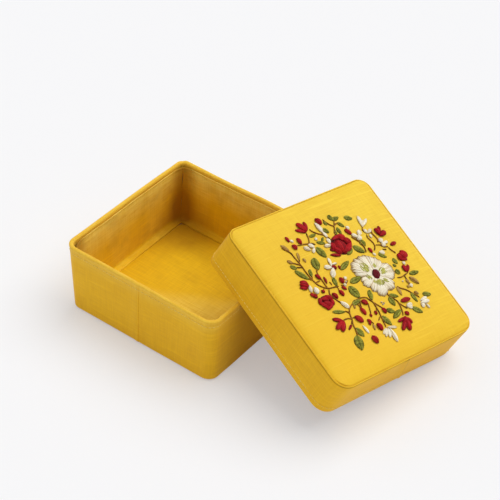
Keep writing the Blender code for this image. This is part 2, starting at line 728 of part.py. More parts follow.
def leaning_lid():
    """An empty that carries the lid, leant on the base.

    Two places on the inner edge of its open rim rest over the base's rolled rim, one on the right wall
    and one on the back wall, and its turn in its own plane is given. The lid then tips about the line
    through them until its lowest corner meets the floor.
    """
    right = Vector((BASE_WIDTH / 2 - RIM_ROLL, LEAN_RIGHT_SHARE * BASE_DEPTH, 0.0))
    back = Vector((LEAN_BACK_SHARE * BASE_WIDTH, BASE_DEPTH / 2 - RIM_ROLL, 0.0))
    span = (back - right).length
    line = (back - right).normalized()
    away = Vector((line.y, -line.x, 0.0))
    half_x, half_y = LID_WIDTH / 2, LID_DEPTH / 2
    x = LID_WALL - half_x
    y = half_y - LID_WALL - span * math.sin(LEAN_TURN)
    down_x, down_y = math.sin(LEAN_TURN), -math.cos(LEAN_TURN)
    corner_reach = (half_x - LID_CORNER) * down_x - (half_y - LID_CORNER) * down_y + LID_CORNER
    reach = corner_reach - x * down_x - y * down_y
    axis_height = BASE_HEIGHT - RIM_ROLL
    tip = 0.0
    for _ in range(30):
        height = axis_height + (RIM_ROLL + LEAN_GAP) / math.cos(tip)
        tip = math.asin((height - FLOOR_GAP) / reach)
    down = away * math.cos(tip) - Vector((0.0, 0.0, math.sin(tip)))
    along_x = line * math.cos(LEAN_TURN) + down * math.sin(LEAN_TURN)
    along_y = line * math.sin(LEAN_TURN) - down * math.cos(LEAN_TURN)
    normal = along_x.cross(along_y)
    centre = right + Vector((0.0, 0.0, height)) - along_x * x - along_y * y
    lid = bpy.data.objects.new("lid", None)
    bpy.context.scene.collection.objects.link(lid)
    turn = Matrix((along_x, along_y, normal)).transposed().to_4x4()
    lid.matrix_world = Matrix.Translation(centre) @ turn
    return lid


def main():
    clear_scene()
    base_shell()
    base_lining()
    rim_stitches()
    lid = leaning_lid()
    lid_skirt(lid)
    lid_piping(lid)
    lid_top(lid)
    skirt_stitches(lid)
    large_motifs(lid)
    small_motifs(lid)
    for name, *lines in STEM_SHARES:
        stem(name, lines, lid)


main()
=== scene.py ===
"""Looks of the silk-covered keepsake box: its cloth, linings, stitches and the embroidery on its lid."""
import math
import random

import bpy
from mathutils import Matrix, Vector
from mathutils.kdtree import KDTree


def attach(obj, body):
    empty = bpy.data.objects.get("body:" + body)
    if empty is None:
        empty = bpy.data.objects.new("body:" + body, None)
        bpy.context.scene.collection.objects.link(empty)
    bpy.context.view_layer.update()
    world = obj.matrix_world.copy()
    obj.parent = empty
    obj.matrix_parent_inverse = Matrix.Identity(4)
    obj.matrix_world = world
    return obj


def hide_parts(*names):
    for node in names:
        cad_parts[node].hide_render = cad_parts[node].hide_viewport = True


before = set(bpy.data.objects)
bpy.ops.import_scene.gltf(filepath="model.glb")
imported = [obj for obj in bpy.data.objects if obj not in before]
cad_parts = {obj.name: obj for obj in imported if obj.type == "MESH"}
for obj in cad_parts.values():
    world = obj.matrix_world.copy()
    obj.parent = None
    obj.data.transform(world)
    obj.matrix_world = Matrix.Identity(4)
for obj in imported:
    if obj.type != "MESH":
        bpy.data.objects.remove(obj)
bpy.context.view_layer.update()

MM = 0.001

# The box's sizes. The corners' radii go from the front right one round by the back to the front left one.
BASE = 150.0 * MM
BASE_TOP = 64.0 * MM
TAPER = 1.3 * MM
BASE_CORNERS = (11.0 * MM, 10.5 * MM, 8.0 * MM, 10.5 * MM)
SILK = 0.45 * MM
LINING = 0.4 * MM
BOARD = 1.8 * MM
RIM = 1.9 * MM
UNDERSIDE = 140.0 * MM
PAD = 126.0 * MM
LID = 155.7 * MM
LID_CORNERS = (13.0 * MM, 11.0 * MM, 8.5 * MM, 13.6 * MM)
SHOULDER = 36.6 * MM
PIPING = 0.55 * MM
TOP_INSET = 1.35 * MM
TOP_EDGE = 37.3 * MM
CROWN = 3.6 * MM
ROLL = 1.3 * MM

# The silk's joins on the front sides. The lid's one slants about its middle height.
BASE_JOIN = -1.65 * MM
LID_JOIN, JOIN_LAP = 3.27 * MM, 2.2 * MM
JOIN_SLANT, JOIN_MIDDLE = 0.42, 18.0 * MM

# The running stitches' length with a gap, and the radii of the embroidery's threads
PITCH = 3.3 * MM
THREAD, FINE_THREAD, STEM_THREAD = 0.27 * MM, 0.25 * MM, 0.44 * MM

# Where the lid leans: the middle of its open rim, and its own three directions
LID_MIDDLE = Vector((117.25713, 27.25428, 40.10644)) * MM
LID_RIGHT = Vector((0.17437695, 0.97337394, -0.14878122))
LID_BACK = Vector((-0.89663781, 0.21941275, 0.38457597))
LID_UP = Vector((0.40698072, 0.06634169, 0.91102441))
LID_TURN = Matrix((LID_RIGHT, LID_BACK, LID_UP)).transposed()
LID_PLACE = Matrix.Translation(LID_MIDDLE) @ LID_TURN.to_4x4()

hand = random.Random(11)


def held(value):
    """Kept between 0 and 1."""
    return min(1.0, max(0.0, value))


# Dyes: shader maths as expressions

class Shade:
    """A value that changes over a surface. Sums and products with it add Math nodes."""

    def __init__(self, dye, socket):
        self.dye = dye
        self.socket = socket

    def maths(self, operation, *values, clamp=False):
        return self.dye.add("ShaderNodeMath", {"operation": operation, "use_clamp": clamp},
                            dict(enumerate(values)))

    def __add__(self, other):
        return self.maths("ADD", self, other)

    def __sub__(self, other):
        return self.maths("SUBTRACT", self, other)

    def __rsub__(self, other):
        return self.maths("SUBTRACT", other, self)

    def __mul__(self, other):
        return self.maths("MULTIPLY", self, other)

    def __pow__(self, other):
        return self.maths("POWER", self, other)

    __radd__ = __add__

    def held(self):
        """Kept between 0 and 1."""
        return self.maths("ADD", self, 0.0, clamp=True)

    def between(self, low, high):
        """0 below low, 1 above high and smooth between them."""
        return self.dye.add("ShaderNodeMapRange", {"interpolation_type": "SMOOTHSTEP"},
                            {"Value": self, "From Min": low, "From Max": high})


class Dye:
    """One finish: a material, with the nodes that vary it over the cloth."""

    def __init__(self, name, place=None, **settings):
        self.material = bpy.data.materials.new(name)
        self.material.use_nodes = True
        self.tree = self.material.node_tree
        self.shader = self.tree.nodes["Principled BSDF"]
        for socket, value in settings.items():
            self.shader.inputs[socket.replace("_", " ")].default_value = value
        self.spot = self.add("ShaderNodeTexCoord", out="Object")
        if place:
            back = place.inverted()
            self.spot = self.add("ShaderNodeMapping", values={
                "Vector": self.spot, "Location": back.translation, "Rotation": back.to_euler()})

    def add(self, kind, settings=None, values=None, out=0):
        node = self.tree.nodes.new(kind)
        for name, setting in (settings or {}).items():
            setattr(node, name, setting)
        for plug, value in (values or {}).items():
            if isinstance(value, Shade):
                self.tree.links.new(value.socket, node.inputs[plug])
            else:
                node.inputs[plug].default_value = value
        return Shade(self, node.outputs[out])

    def noise(self, x, y, z, detail=2.0, seed=0.0):
        place = self.add("ShaderNodeMapping", values={
            "Vector": self.spot, "Scale": (x, y, z), "Location": (seed, seed * 0.7, seed * 1.3)})
        return self.add("ShaderNodeTexNoise", values={"Vector": place, "Scale": 1.0, "Detail": detail})

    def along(self, axis):
        """The place along one axis, in metres."""
        return self.add("ShaderNodeSeparateXYZ", values={"Vector": self.spot}, out=axis)

    def blend(self, factor, low, high):
        """A colour that goes from low to high with the factor."""
        return self.add("ShaderNodeMix", {"data_type": "RGBA"}, {
            "Factor": factor, 6: low if isinstance(low, Shade) else (*low, 1.0),
            7: high if isinstance(high, Shade) else (*high, 1.0)}, out=2)

    def wear(self, colour=None, roughness=None, height=None, depth=0.1 * MM, strength=0.5):
        """Feeds the colour, the roughness and the bump."""
        if colour:
            self.tree.links.new(colour.socket, self.shader.inputs["Base Color"])
        if roughness:
            self.tree.links.new(roughness.socket, self.shader.inputs["Roughness"])
        if height:
            bump = self.add("ShaderNodeBump", values={
                "Height": height, "Strength": strength, "Distance": depth})
            self.tree.links.new(bump.socket, self.shader.inputs["Normal"])
        return self.material


def silk(name, pale, deep, lying=False, place=None, slubs=1.0, painted_sheen=None, painted_shade=None):
    """Slub silk, its weft level and its warp upright, or along X and Y where the cloth lies flat.

    It can take a painted sheen, as a factor for a paler colour, and painted light and shade, as a factor with
    the colour it turns to.
    """
    dye = Dye(name, place, Sheen_Weight=0.06, Sheen_Roughness=0.5, Specular_IOR_Level=0.18)
    weft, warp = ((1, 0, 1), (0, 1, 1)) if lying else ((1, 1, 0), (0, 0, 1))
    slub = dye.noise(*[20.0 if run else 430.0 for run in weft], seed=3.1).between(0.56, 0.72)
    fine = dye.noise(*[70.0 if run else 1000.0 for run in weft], seed=1.7)
    cross = dye.noise(*[60.0 if run else 900.0 for run in warp], seed=8.3)
    cloud = dye.noise(24.0, 24.0, 24.0, 3.0, seed=5.2)
    tone = 0.5 + (fine - 0.5) * 1.15 + (cross - 0.5) * 0.85 + (cloud - 0.5) * 0.8
    tone = (tone + slub * (0.35 * slubs)).held()
    colour = dye.blend(tone, deep, pale)
    # Painted sheen: paler patches where light catches the cloth
    if painted_sheen:
        sheen_share = (painted_sheen(dye) * (0.75 + (fine - 0.5) * 1.2 + (cross - 0.5) * 0.8)).held()
        colour = dye.blend(sheen_share, colour, PAINTED_SHEEN_TINT)
    # Painted light and shade over the colour: a factor and the colour it turns to
    if painted_shade:
        share, shade = painted_shade(dye)
        colour = dye.blend(share, colour, shade)
    height = fine * 0.6 + cross * 0.4 + slub * (0.8 * slubs)
    return dye.wear(colour, 0.6 + (fine - 0.5) * 0.2, height, 0.14 * MM, 0.6)


def painted_sheen_walls(dye):
    """Painted sheen: paler towards the rim, in upright patches, where light catches the lining."""
    height = dye.along("Z").between(30.0 * MM, 58.0 * MM)
    patch = dye.noise(30.0, 30.0, 14.0, 2.0, seed=4.4).between(0.42, 0.62)
    streak = dye.noise(120.0, 120.0, 10.0, 2.0, seed=7.9)
    return (height * 0.95 + patch * 0.22 - 0.1) * (0.66 + streak * 0.8)


def painted_sheen_rim(dye):
    """Painted sheen: paler over the rim and just below it, where light catches it."""
    return dye.along("Z").between(46 * MM, 65 * MM) * 0.42


def from_corner(dye):
    """The square of the distance from the back left corner's foot."""
    inner = 72 * MM
    return (dye.along("X") + inner) ** 2.0 + (inner - dye.along("Y")) ** 2.0 + dye.along("Z") ** 2.0


def painted_shade_walls(dye):
    """Painted shade: darker down the creased corners and low in the back left one, with a little random
    darker mottling.
    """
    out = dye.along("X") ** 2.0 + dye.along("Y") ** 2.0
    foot = 1.0 - from_corner(dye).between((12 * MM) ** 2, (48 * MM) ** 2)
    smudge = dye.noise(46.0, 46.0, 60.0, 4.0, seed=9.1).between(0.5, 0.68)
    corner = out.between((85.5 * MM) ** 2, (96.5 * MM) ** 2)
    return (corner * 0.85 + foot * 0.5 + smudge * 0.22).held(), PAINTED_CORNER_SHADE


def painted_shade_floor(dye):
    """Painted shade: darker into the back left corner, where the walls shade the floor, with a little random
    darker mottling.
    """
    foot = 1.0 - from_corner(dye).between((18 * MM) ** 2, (62 * MM) ** 2)
    smudge = dye.noise(34.0, 34.0, 34.0, 4.0, seed=1.2).between(0.5, 0.7)
    return (foot * 0.72 + smudge * 0.16).held(), PAINTED_CORNER_SHADE


def painted_lid_shadow(dye):
    """Painted shadow of the lid: the wall on the lid's side is darker away from its front corner."""
    side = dye.along("X").between(66 * MM, 74 * MM) * dye.along("Y").between(-80 * MM, -10 * MM)
    return side * 0.42, LID_SHADOW_TINT


def piping_shadow_and_seam(dye):
    """A painted shadow under the piping, where the lid's side meets it, and a fine dark line along its
    slanting join.
    """
    edge = dye.along("Z").between(35.3 * MM, 36.3 * MM) * 0.56
    at_its_edge = 0.915
    slant = at_its_edge * JOIN_SLANT
    past = dye.along("X") + dye.along("Z") * slant - (LID_JOIN + JOIN_LAP + slant * JOIN_MIDDLE)
    line = past.between(-0.5 * MM, 0.0) * (1.0 - past.between(0.5 * MM, 1.7 * MM))
    front = 1.0 - dye.along("Y").between(-76 * MM, -72 * MM)
    return (edge + line * front * 0.6).held(), SEAM_AND_SHADOW_TINT


def painted_shade_top(dye):
    """Painted shade: the lid's top turns a deeper gold towards its front corner, as if lit more strongly at
    the back.
    """
    return (dye.along("X") * -1.0 - dye.along("Y")).between(-120 * MM, 130 * MM) * 0.62, TOP_SHADE_TINT


def painted_sheen_floor(dye):
    """Painted sheen: a paler, slanting band over the front half of the floor, where light falls on it."""
    run = dye.along("X") * 0.55 - dye.along("Y")
    drift = (dye.noise(14.0, 14.0, 14.0, 2.0, seed=2.4) - 0.5) * (60.0 * MM)
    return (run + drift).between(-5.0 * MM, 22.0 * MM) * 0.55


def yarn(name, pale, deep, dark=None):
    """Thread with a silky lustre. With a dark dye, it takes painted light and shade: lighter on top of its
    strands, darker where it lies low between its neighbours.
    """
    dye = Dye(name, LID_PLACE if dark else None, Specular_IOR_Level=0.14)
    strand = dye.noise(900.0, 900.0, 900.0, 2.0, seed=2.2)
    patch = dye.noise(170.0, 170.0, 170.0, 2.0, seed=6.6)
    if dark:
        # Painted light and shade kept on the thread's points, with random tone over it
        light = dye.add("ShaderNodeAttribute", {"attribute_name": "painted_light"}, out=2)
        light = light + (patch - 0.5) * 0.5 + (strand - 0.5) * 0.2
        colour = dye.blend(light.between(0.55, 1.1), dye.blend(light.between(0.2, 0.7), dark, deep), pale)
    else:
        colour = dye.blend((0.5 + (strand - 0.5) * 1.1 + (patch - 0.5) * 1.6).held(), deep, pale)
    return dye.wear(colour, 0.42 + (strand - 0.5) * 0.2,
                    dye.noise(3500.0, 3500.0, 3500.0, 1.0, seed=4.0), 0.06 * MM, 0.4)


def board():
    """Grey board, seen only if the cloth is lifted."""
    dye = Dye("board_grey", Roughness=0.9)
    fibre = dye.noise(700.0, 700.0, 700.0, 4.0)
    return dye.wear(dye.blend(fibre, (0.34, 0.32, 0.29), (0.5, 0.48, 0.44)), None, fibre)


def wadding():
    dye = Dye("cotton_wadding", Roughness=0.95)
    fibre = dye.noise(400.0, 400.0, 400.0, 5.0)
    return dye.wear(dye.blend(fibre, (0.66, 0.61, 0.5), (0.83, 0.79, 0.7)), None, fibre, 0.4 * MM)


GOLD, GOLD_DEEP = (0.96, 0.56, 0.012), (0.8, 0.42, 0.005)
# The lid's top and piping: a lighter, yellower copy of the sides' gold, painted light for the lit top
LIT_TOP_GOLD, LIT_TOP_GOLD_DEEP = (0.95, 0.66, 0.052), (0.82, 0.51, 0.026)
AMBER, AMBER_DEEP = (0.88, 0.54, 0.006), (0.72, 0.4, 0.002)
# The paler colour of the painted sheen, and the dark of the painted shade in the linings
PAINTED_SHEEN_TINT, PAINTED_CORNER_SHADE = (0.94, 0.69, 0.13), (0.4, 0.18, 0.001)
# The painted shadow of the lid on the base, the painted shadow under the piping with its seam line, and the
# painted shade on the lid's top
LID_SHADOW_TINT, SEAM_AND_SHADOW_TINT, TOP_SHADE_TINT = (0.5, 0.24, 0.003), (0.34, 0.16, 0.002), (0.87, 0.49, 0.008)
base_silk = silk("golden_silk_base", GOLD, GOLD_DEEP, painted_sheen=painted_sheen_rim, painted_shade=painted_lid_shadow)
lid_silk = silk("golden_silk_lid_sides", GOLD, GOLD_DEEP, False, LID_PLACE, painted_shade=piping_shadow_and_seam)
top_silk = silk("golden_silk_lid_top", LIT_TOP_GOLD, LIT_TOP_GOLD_DEEP, True, LID_PLACE, 1.5, painted_shade=painted_shade_top)
wall_lining = silk("amber_lining_walls", AMBER, AMBER_DEEP, False, None, 1.4, painted_sheen_walls, painted_shade_walls)
floor_lining = silk("amber_lining_floor", AMBER, AMBER_DEEP, True, None, 0.8, painted_sheen_floor, painted_shade_floor)
lid_lining = silk("amber_lining_lid", AMBER, AMBER_DEEP, False, LID_PLACE)
grey, cotton = board(), wadding()
pale_thread = yarn("pale_running_thread", (0.97, 0.75, 0.22), (0.92, 0.63, 0.09))
crimson = yarn("crimson_thread", (0.54, 0.012, 0.016), (0.3, 0.003, 0.007), (0.055, 0.001, 0.002))
bud_red = yarn("bud_thread", (0.5, 0.02, 0.016), (0.27, 0.006, 0.007), (0.06, 0.002, 0.002))
maroon = yarn("maroon_thread", (0.2, 0.006, 0.016), (0.09, 0.002, 0.008), (0.015, 0.001, 0.002))
cream = yarn("cream_thread", (0.97, 0.91, 0.75), (0.84, 0.72, 0.48), (0.38, 0.23, 0.07))
flower_green = yarn("pale_green_thread", (0.58, 0.55, 0.12), (0.34, 0.33, 0.04), (0.14, 0.13, 0.015))
leaf_green = yarn("leaf_thread", (0.4, 0.39, 0.05), (0.18, 0.18, 0.018), (0.035, 0.03, 0.004))
stem_brown = yarn("stem_thread", (0.46, 0.2, 0.02), (0.27, 0.1, 0.01), (0.07, 0.022, 0.003))
tan_bud = yarn("tan_thread", (0.62, 0.38, 0.1), (0.33, 0.15, 0.025), (0.08, 0.03, 0.005))


# Hands: drawing a line in edit mode and carrying it round the box

def pick(made):
    """Only this piece is selected and active."""
    bpy.ops.object.select_all(action="DESELECT")
    made.select_set(True)
    bpy.context.view_layer.objects.active = made


def lay_flat(name, size):
    """A new square piece, all selected in edit mode."""
    bpy.ops.object.select_all(action="DESELECT")
    bpy.ops.mesh.primitive_plane_add(size=size)
    made = bpy.context.object
    made.name = made.data.name = name
    bpy.ops.object.mode_set(mode="EDIT")
    return made


def draw_line(name, x, side, line):
    """The section of a strip that runs along the front side: points of (inset, height)."""
    places = [Vector((x, inset - side / 2, height)) for inset, height in line]
    made = lay_flat(name, MM)
    bpy.ops.mesh.merge(type="CENTER")
    bpy.ops.transform.translate(value=places[0])
    for here, there in zip(places, places[1:]):
        bpy.ops.mesh.extrude_vertices_move(TRANSFORM_OT_translate={"value": there - here})
    bpy.ops.mesh.select_all(action="SELECT")
    return made


def pull(move, steps):
    for _ in range(steps):
        bpy.ops.mesh.extrude_region_move(TRANSFORM_OT_translate={"value": move / steps})


def carry_round(start, side, corners, steps=14, overlap=0.0, lift=0.0, sink=0.0):
    """Takes the selected section from start on the front side round the box and back to it, or past it."""
    half, ramp = side / 2, (1.5 * MM if overlap else 0.0)
    pull(Vector((half - corners[0] - start, 0.0, 0.0)), steps // 2)
    ahead = Vector((1.0, 0.0, 0.0))
    for index, (x, y) in enumerate(((1, -1), (1, 1), (-1, 1), (-1, -1))):
        radius = corners[index]
        bpy.ops.mesh.spin(steps=8, angle=-math.pi / 2, axis=(0, 0, 1),
                          center=(x * (half - radius), y * (half - radius), 0.0))
        ahead.rotate(Matrix.Rotation(math.pi / 2, 3, "Z"))
        if index < 3:
            pull(ahead * (side - radius - corners[index + 1]), steps)
    pull(Vector((half - corners[3] + start - ramp, 0.0, 0.0)), steps // 2)
    if overlap:
        pull(Vector((ramp, -lift, 0.0)), 1)
        pull(Vector((overlap, sink, 0.0)), 1)


def leave(merge=True):
    """Joins the doubles, turns the faces outwards and leaves edit mode."""
    bpy.ops.mesh.select_all(action="SELECT")
    if merge:
        bpy.ops.mesh.remove_doubles(threshold=0.001 * MM)
    bpy.ops.mesh.normals_make_consistent(inside=False)
    bpy.ops.object.mode_set(mode="OBJECT")


def strip(name, side, corners, line, start=0.0, **lap):
    """A strip carried all round the box from its section. One that laps over itself isn't joined there."""
    made = draw_line(name, start, side, line)
    carry_round(start, side, corners, **lap)
    leave(merge="overlap" not in lap)
    return made


def apply(made, kind, **settings):
    pick(made)
    change = made.modifiers.new(kind.lower(), kind)
    for name, value in settings.items():
        setattr(change, name, value)
    bpy.ops.object.modifier_apply(modifier=change.name)


def ripple(made, size, height):
    """Slight unevenness, as hand-covered board has."""
    cloud = bpy.data.textures.new(made.name, "CLOUDS")
    cloud.noise_scale = size
    apply(made, "DISPLACE", texture=cloud, strength=height, texture_coords="LOCAL", mid_level=0.5)


def turn_out(made, test):
    """Flips the piece if the faces that the test names point the wrong way."""
    score = sum(test(face.center, face.normal) * face.area for face in made.data.polygons)
    if score < 0:
        pick(made)
        bpy.ops.object.mode_set(mode="EDIT")
        bpy.ops.mesh.select_all(action="SELECT")
        bpy.ops.mesh.flip_normals()
        bpy.ops.object.mode_set(mode="OBJECT")


def thicken(made, thickness):
    """Gives the cloth its thickness, behind its face."""
    apply(made, "SOLIDIFY", thickness=thickness, offset=-1.0, use_even_offset=True)


def settle(made, body, finish, stands_for, angle=40.0):
    """Puts the finished piece on its body, with its finish. What is on the lid leans with it."""
    if body == "lid":
        made.data.transform(LID_PLACE)
    pick(made)
    bpy.ops.object.shade_smooth_by_angle(angle=math.radians(angle))
    made.data.materials.clear()
    made.data.materials.append(finish)
    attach(made, body)
    if stands_for:
        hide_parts(*stands_for)


def arc(inset, height, radius, start, end, steps):
    """Points of (inset, height) on an arc, in degrees: 0 points outwards and 90 up."""
    turns = [math.radians(start + (end - start) * step / steps) for step in range(steps + 1)]
    return [(inset - radius * math.cos(turn), height + radius * math.sin(turn)) for turn in turns]


def mm(*points):
    return [(inset * MM, height * MM) for inset, height in points]


def ladder(start, inset, height, steps):
    """Points on a straight stretch of a section to a place in mm, without the one it starts from."""
    end = (inset * MM, height * MM)
    return [tuple(a + (b - a) * step / steps for a, b in zip(start, end)) for step in range(1, steps + 1)]


# The base

def outwards(centre, normal):
    return normal.x * centre.x + normal.y * centre.y


def drawn_in(z):
    """How far the base's walls, which lean out to the rim, are drawn in at a height."""
    return TAPER * (1.0 - z / BASE_TOP)


def leaned(line):
    return [(inset + drawn_in(z), z) for inset, z in line]


def pull_about(made):
    """The walls' hand-made unevenness.

    The left front corner flares out to the rim, the back wall bows and the rim is pinched at the back left.
    """
    bow_middle, bow_width = 22 * MM, 36 * MM
    rounding, deep, wide = 67 * MM, 0.9 * MM, 0.3
    for vertex in made.data.vertices:
        x, y, z = vertex.co
        up = z / BASE_TOP
        left = held(-x / (52 * MM) - 0.44) ** 2
        right = held(x / (52 * MM) - 0.44) ** 2
        front = held(0.5 - y / BASE) ** 2
        back = held(y / (60 * MM)) ** 2
        shift = left * (front * (3.4 - 5.3 * up) + back * 1.3 * up) + right * 1.2 * (1.0 - up)
        bow = 2.0 * back * math.exp(-((x - bow_middle) / bow_width) ** 2) * up ** 2
        across, along = x + rounding, y - rounding
        over = (z - BASE_TOP + 2 * RIM) / (2 * RIM)
        if over > 0 and along > across:
            turn = math.atan2(along + across, along - across)
            pinch = deep * math.exp(-(turn / wide) ** 2) * over ** 2
            inner = 0.9 * held((8 * MM - math.hypot(across, along)) / (2 * RIM))
            vertex.co += Vector((-inner * pinch, inner * pinch, -pinch))
        vertex.co += Vector((shift, bow, 0.0)) * MM


def base_boards():
    """The board of the walls and the cord in the rim, both hidden under the silk."""
    made = strip("board_walls", BASE, BASE_CORNERS, leaned(mm((0.95, 2.6), (0.95, 60.0))))
    turn_out(made, outwards)
    pull_about(made)
    ripple(made, 32 * MM, 0.5 * MM)
    thicken(made, BOARD)
    settle(made, "base", grey, ["base_wall_board"])
    line = leaned(arc(RIM, BASE_TOP - RIM, RIM - 0.6 * MM, 0.0, 360.0, 8))
    made = strip("cord_rim", BASE, BASE_CORNERS, line)
    pull_about(made)
    settle(made, "base", cotton, ["base_rim_cord"], 180.0)


def base_outside():
    """One strip of silk from under the floor, up the outside and over the rim's cord."""
    line = mm((7.5, 0.75))
    line += ladder(line[-1], 2.4, 0.75, 2)
    line += arc(2.4 * MM, 2.75 * MM, 2 * MM, -90.0, 0.0, 5)[1:]
    line += ladder(line[-1], 0.4, 60.6, 9)
    line += arc(RIM, BASE_TOP - RIM, RIM, -36.0, 180.0, 10)
    line += mm((3.76, 61.4), (3.7, 60.6), (3.65, 55.0))
    made = strip("silk_base_outside", BASE, BASE_CORNERS, leaned(line), BASE_JOIN,
                 overlap=2.4 * MM, lift=0.45 * MM, sink=0.22 * MM)
    turn_out(made, lambda c, n: outwards(c, n) if 10 * MM < c.z < 50 * MM else 0.0)
    pull_about(made)
    ripple(made, 32 * MM, 0.5 * MM)
    thicken(made, SILK)
    settle(made, "base", base_silk, ["base_outer_cloth"])
    return made


def base_underside():
    """The panel that hides the turned-under edges."""
    made = lay_flat("silk_underside", UNDERSIDE)
    bpy.ops.mesh.bevel(offset=5.5 * MM, segments=5, affect="VERTICES")
    bpy.ops.mesh.extrude_region_move(TRANSFORM_OT_translate={"value": (0.0, 0.0, SILK)})
    leave()
    apply(made, "BEVEL", width=0.15 * MM, segments=2, limit_method="ANGLE")
    settle(made, "base", floor_lining, ["base_underside_panel"])


def lining_wall(name, turn, seed):
    """One lining cloth: from below the rim down the wall and out over its foot, with a crease at each end."""
    face, low = 4.4, 5.5
    line = mm((face - 0.2, 60.0), (face + 0.05, 60.9), (face + 0.4, 60.8), (face + 0.55, 60.2),
              (face + 0.45, 59.3), (face - 0.1, 58.95), (face + 0.2, 58.5))
    line += ladder(line[-1], face, low + 4.0, 9)
    line += mm((face + 0.1, low + 2.6), (face + 0.5, low + 1.3), (face + 1.3, low + 0.5),
               (face + 2.4, low + 0.15), (face + 4.0, low), (face + 5.2, low - 0.1),
               (face + 5.7, low - 0.6), (face + 5.8, low - 1.5))
    made = draw_line(name, -1.0, BASE, line)
    pull(Vector((2.0, 0.0, 0.0)), 40)
    leave()
    wave = random.Random(seed)
    bends = [(wave.uniform(-0.75, 0.75), wave.uniform(0.1, 0.3), wave.uniform(-0.35, 0.35)) for _ in range(5)]
    for vertex in made.data.vertices:
        share, inset, z = vertex.co.x, vertex.co.y + BASE / 2, vertex.co.z
        ease = max(0.0, (abs(share) - 0.86) / 0.14)
        foot = held((inset - face * MM) / (5.5 * MM))
        draw_in = 2.5 * MM * (1.0 - foot)
        inset += drawn_in(z)
        half = BASE / 2 - inset - draw_in
        up = held((z - 10 * MM) / (20 * MM))
        sway = sum(height * math.exp(-((share - middle) / width) ** 2) for middle, width, height in bends)
        pucker = math.sin(z / (4.2 * MM) + seed) * 0.35 * MM * ease ** 3 * up
        vertex.co.x = share * half
        vertex.co.y = inset + draw_in * ease ** 2 - BASE / 2 + (sway * MM * up + pucker) * (1.0 - foot)
    turn_out(made, lambda c, n: n.y if c.z > 15 * MM else 0.0)
    made.data.transform(Matrix.Rotation(math.radians(turn), 4, "Z"))
    pull_about(made)
    thicken(made, LINING)
    settle(made, "base", wall_lining, ["base_lining_" + name.split("_")[-1]])


def base_floor():
    """The covered card on the floor, between the feet of the lining."""
    under, thick, tuck = 3.4 * MM, 2.5 * MM, 0.7 * MM
    made = lay_flat("silk_floor_pad", PAD)
    bpy.ops.mesh.subdivide(number_cuts=23)
    bpy.ops.mesh.select_all(action="SELECT")
    bpy.ops.transform.translate(value=(0.0, 0.0, under))
    bpy.ops.mesh.extrude_region_move(TRANSFORM_OT_translate={"value": (0.0, 0.0, thick)})
    leave()
    half = PAD / 2
    for vertex in made.data.vertices:
        x, y = vertex.co.x / half, vertex.co.y / half
        if vertex.co.z > 5 * MM:
            rise = (1.0 - abs(x) ** 8) * (1.0 - abs(y) ** 8)
            vertex.co.z += 0.7 * MM * rise - 0.5 * MM
        if abs(x) > 0.99 and abs(y) > 0.99:
            vertex.co.x -= math.copysign(tuck, x)
            vertex.co.y -= math.copysign(tuck, y)
    apply(made, "BEVEL", width=0.9 * MM, segments=4, limit_method="ANGLE", angle_limit=math.radians(50))
    settle(made, "base", floor_lining, ["base_floor_cloth"])


def round_the_box(side, corners, run):
    """The place at a run from the front side's left end round the box, and the way out from it."""
    turn = 0.0
    for index in range(4):
        before, after = corners[index - 1], corners[index]
        spin = Matrix.Rotation(turn, 2)
        flat = side - before - after
        if run < flat:
            return spin @ Vector((run + before - side / 2, -side / 2)), spin @ Vector((0.0, -1.0))
        run -= flat
        if run < math.pi / 2 * after:
            bend = run / after - math.pi / 2
            out = Vector((math.cos(bend), math.sin(bend)))
            return spin @ (Vector((side / 2 - after, after - side / 2)) + out * after), spin @ out
        run -= math.pi / 2 * after
        turn += math.pi / 2
    return round_the_box(side, corners, run)


def threads(name, runs):
    """A mesh of round threads, one for each run of (place, radius)."""
    curve = bpy.data.curves.new(name, "CURVE")
    curve.dimensions, curve.bevel_depth = "3D", 1.0
    curve.bevel_resolution, curve.use_fill_caps = 1, True
    for run in runs:
        spline = curve.splines.new("POLY")
        spline.points.add(len(run) - 1)
        for point, (place, radius) in zip(spline.points, run):
            point.co = (*place, 1.0)
            point.radius = radius
    made = bpy.data.objects.new(name, curve)
    bpy.context.scene.collection.objects.link(made)
    pick(made)
    bpy.ops.object.convert(target="MESH")
    return bpy.context.object


def finder(places):
    """Finds which of the places is the nearest to a vertex."""
    tree = KDTree(len(places))
    for index, place in enumerate(places):
        tree.insert(place, index)
    tree.balance()
    return lambda vertex: tree.find(vertex.co)[1]


def lay_on(made, cloth, middles):
    """Moves each bit of thread to lie on the cloth as it is. Each bit's middle is (place, way out, lift)."""
    nearest = finder([place for place, out, lift in middles])
    clear, rings = 4 * MM, {}
    for vertex in made.data.vertices:
        rings.setdefault(nearest(vertex), []).append(vertex)
    pull_about(made)
    for index, ring in rings.items():
        out, lift = middles[index][1:]
        centre = sum((vertex.co for vertex in ring), Vector()) / len(ring)
        hit, spot, _, _ = cloth.ray_cast(centre + out * clear, -out, distance=2 * clear)
        if hit:
            for vertex in ring:
                vertex.co += spot + out * lift - centre


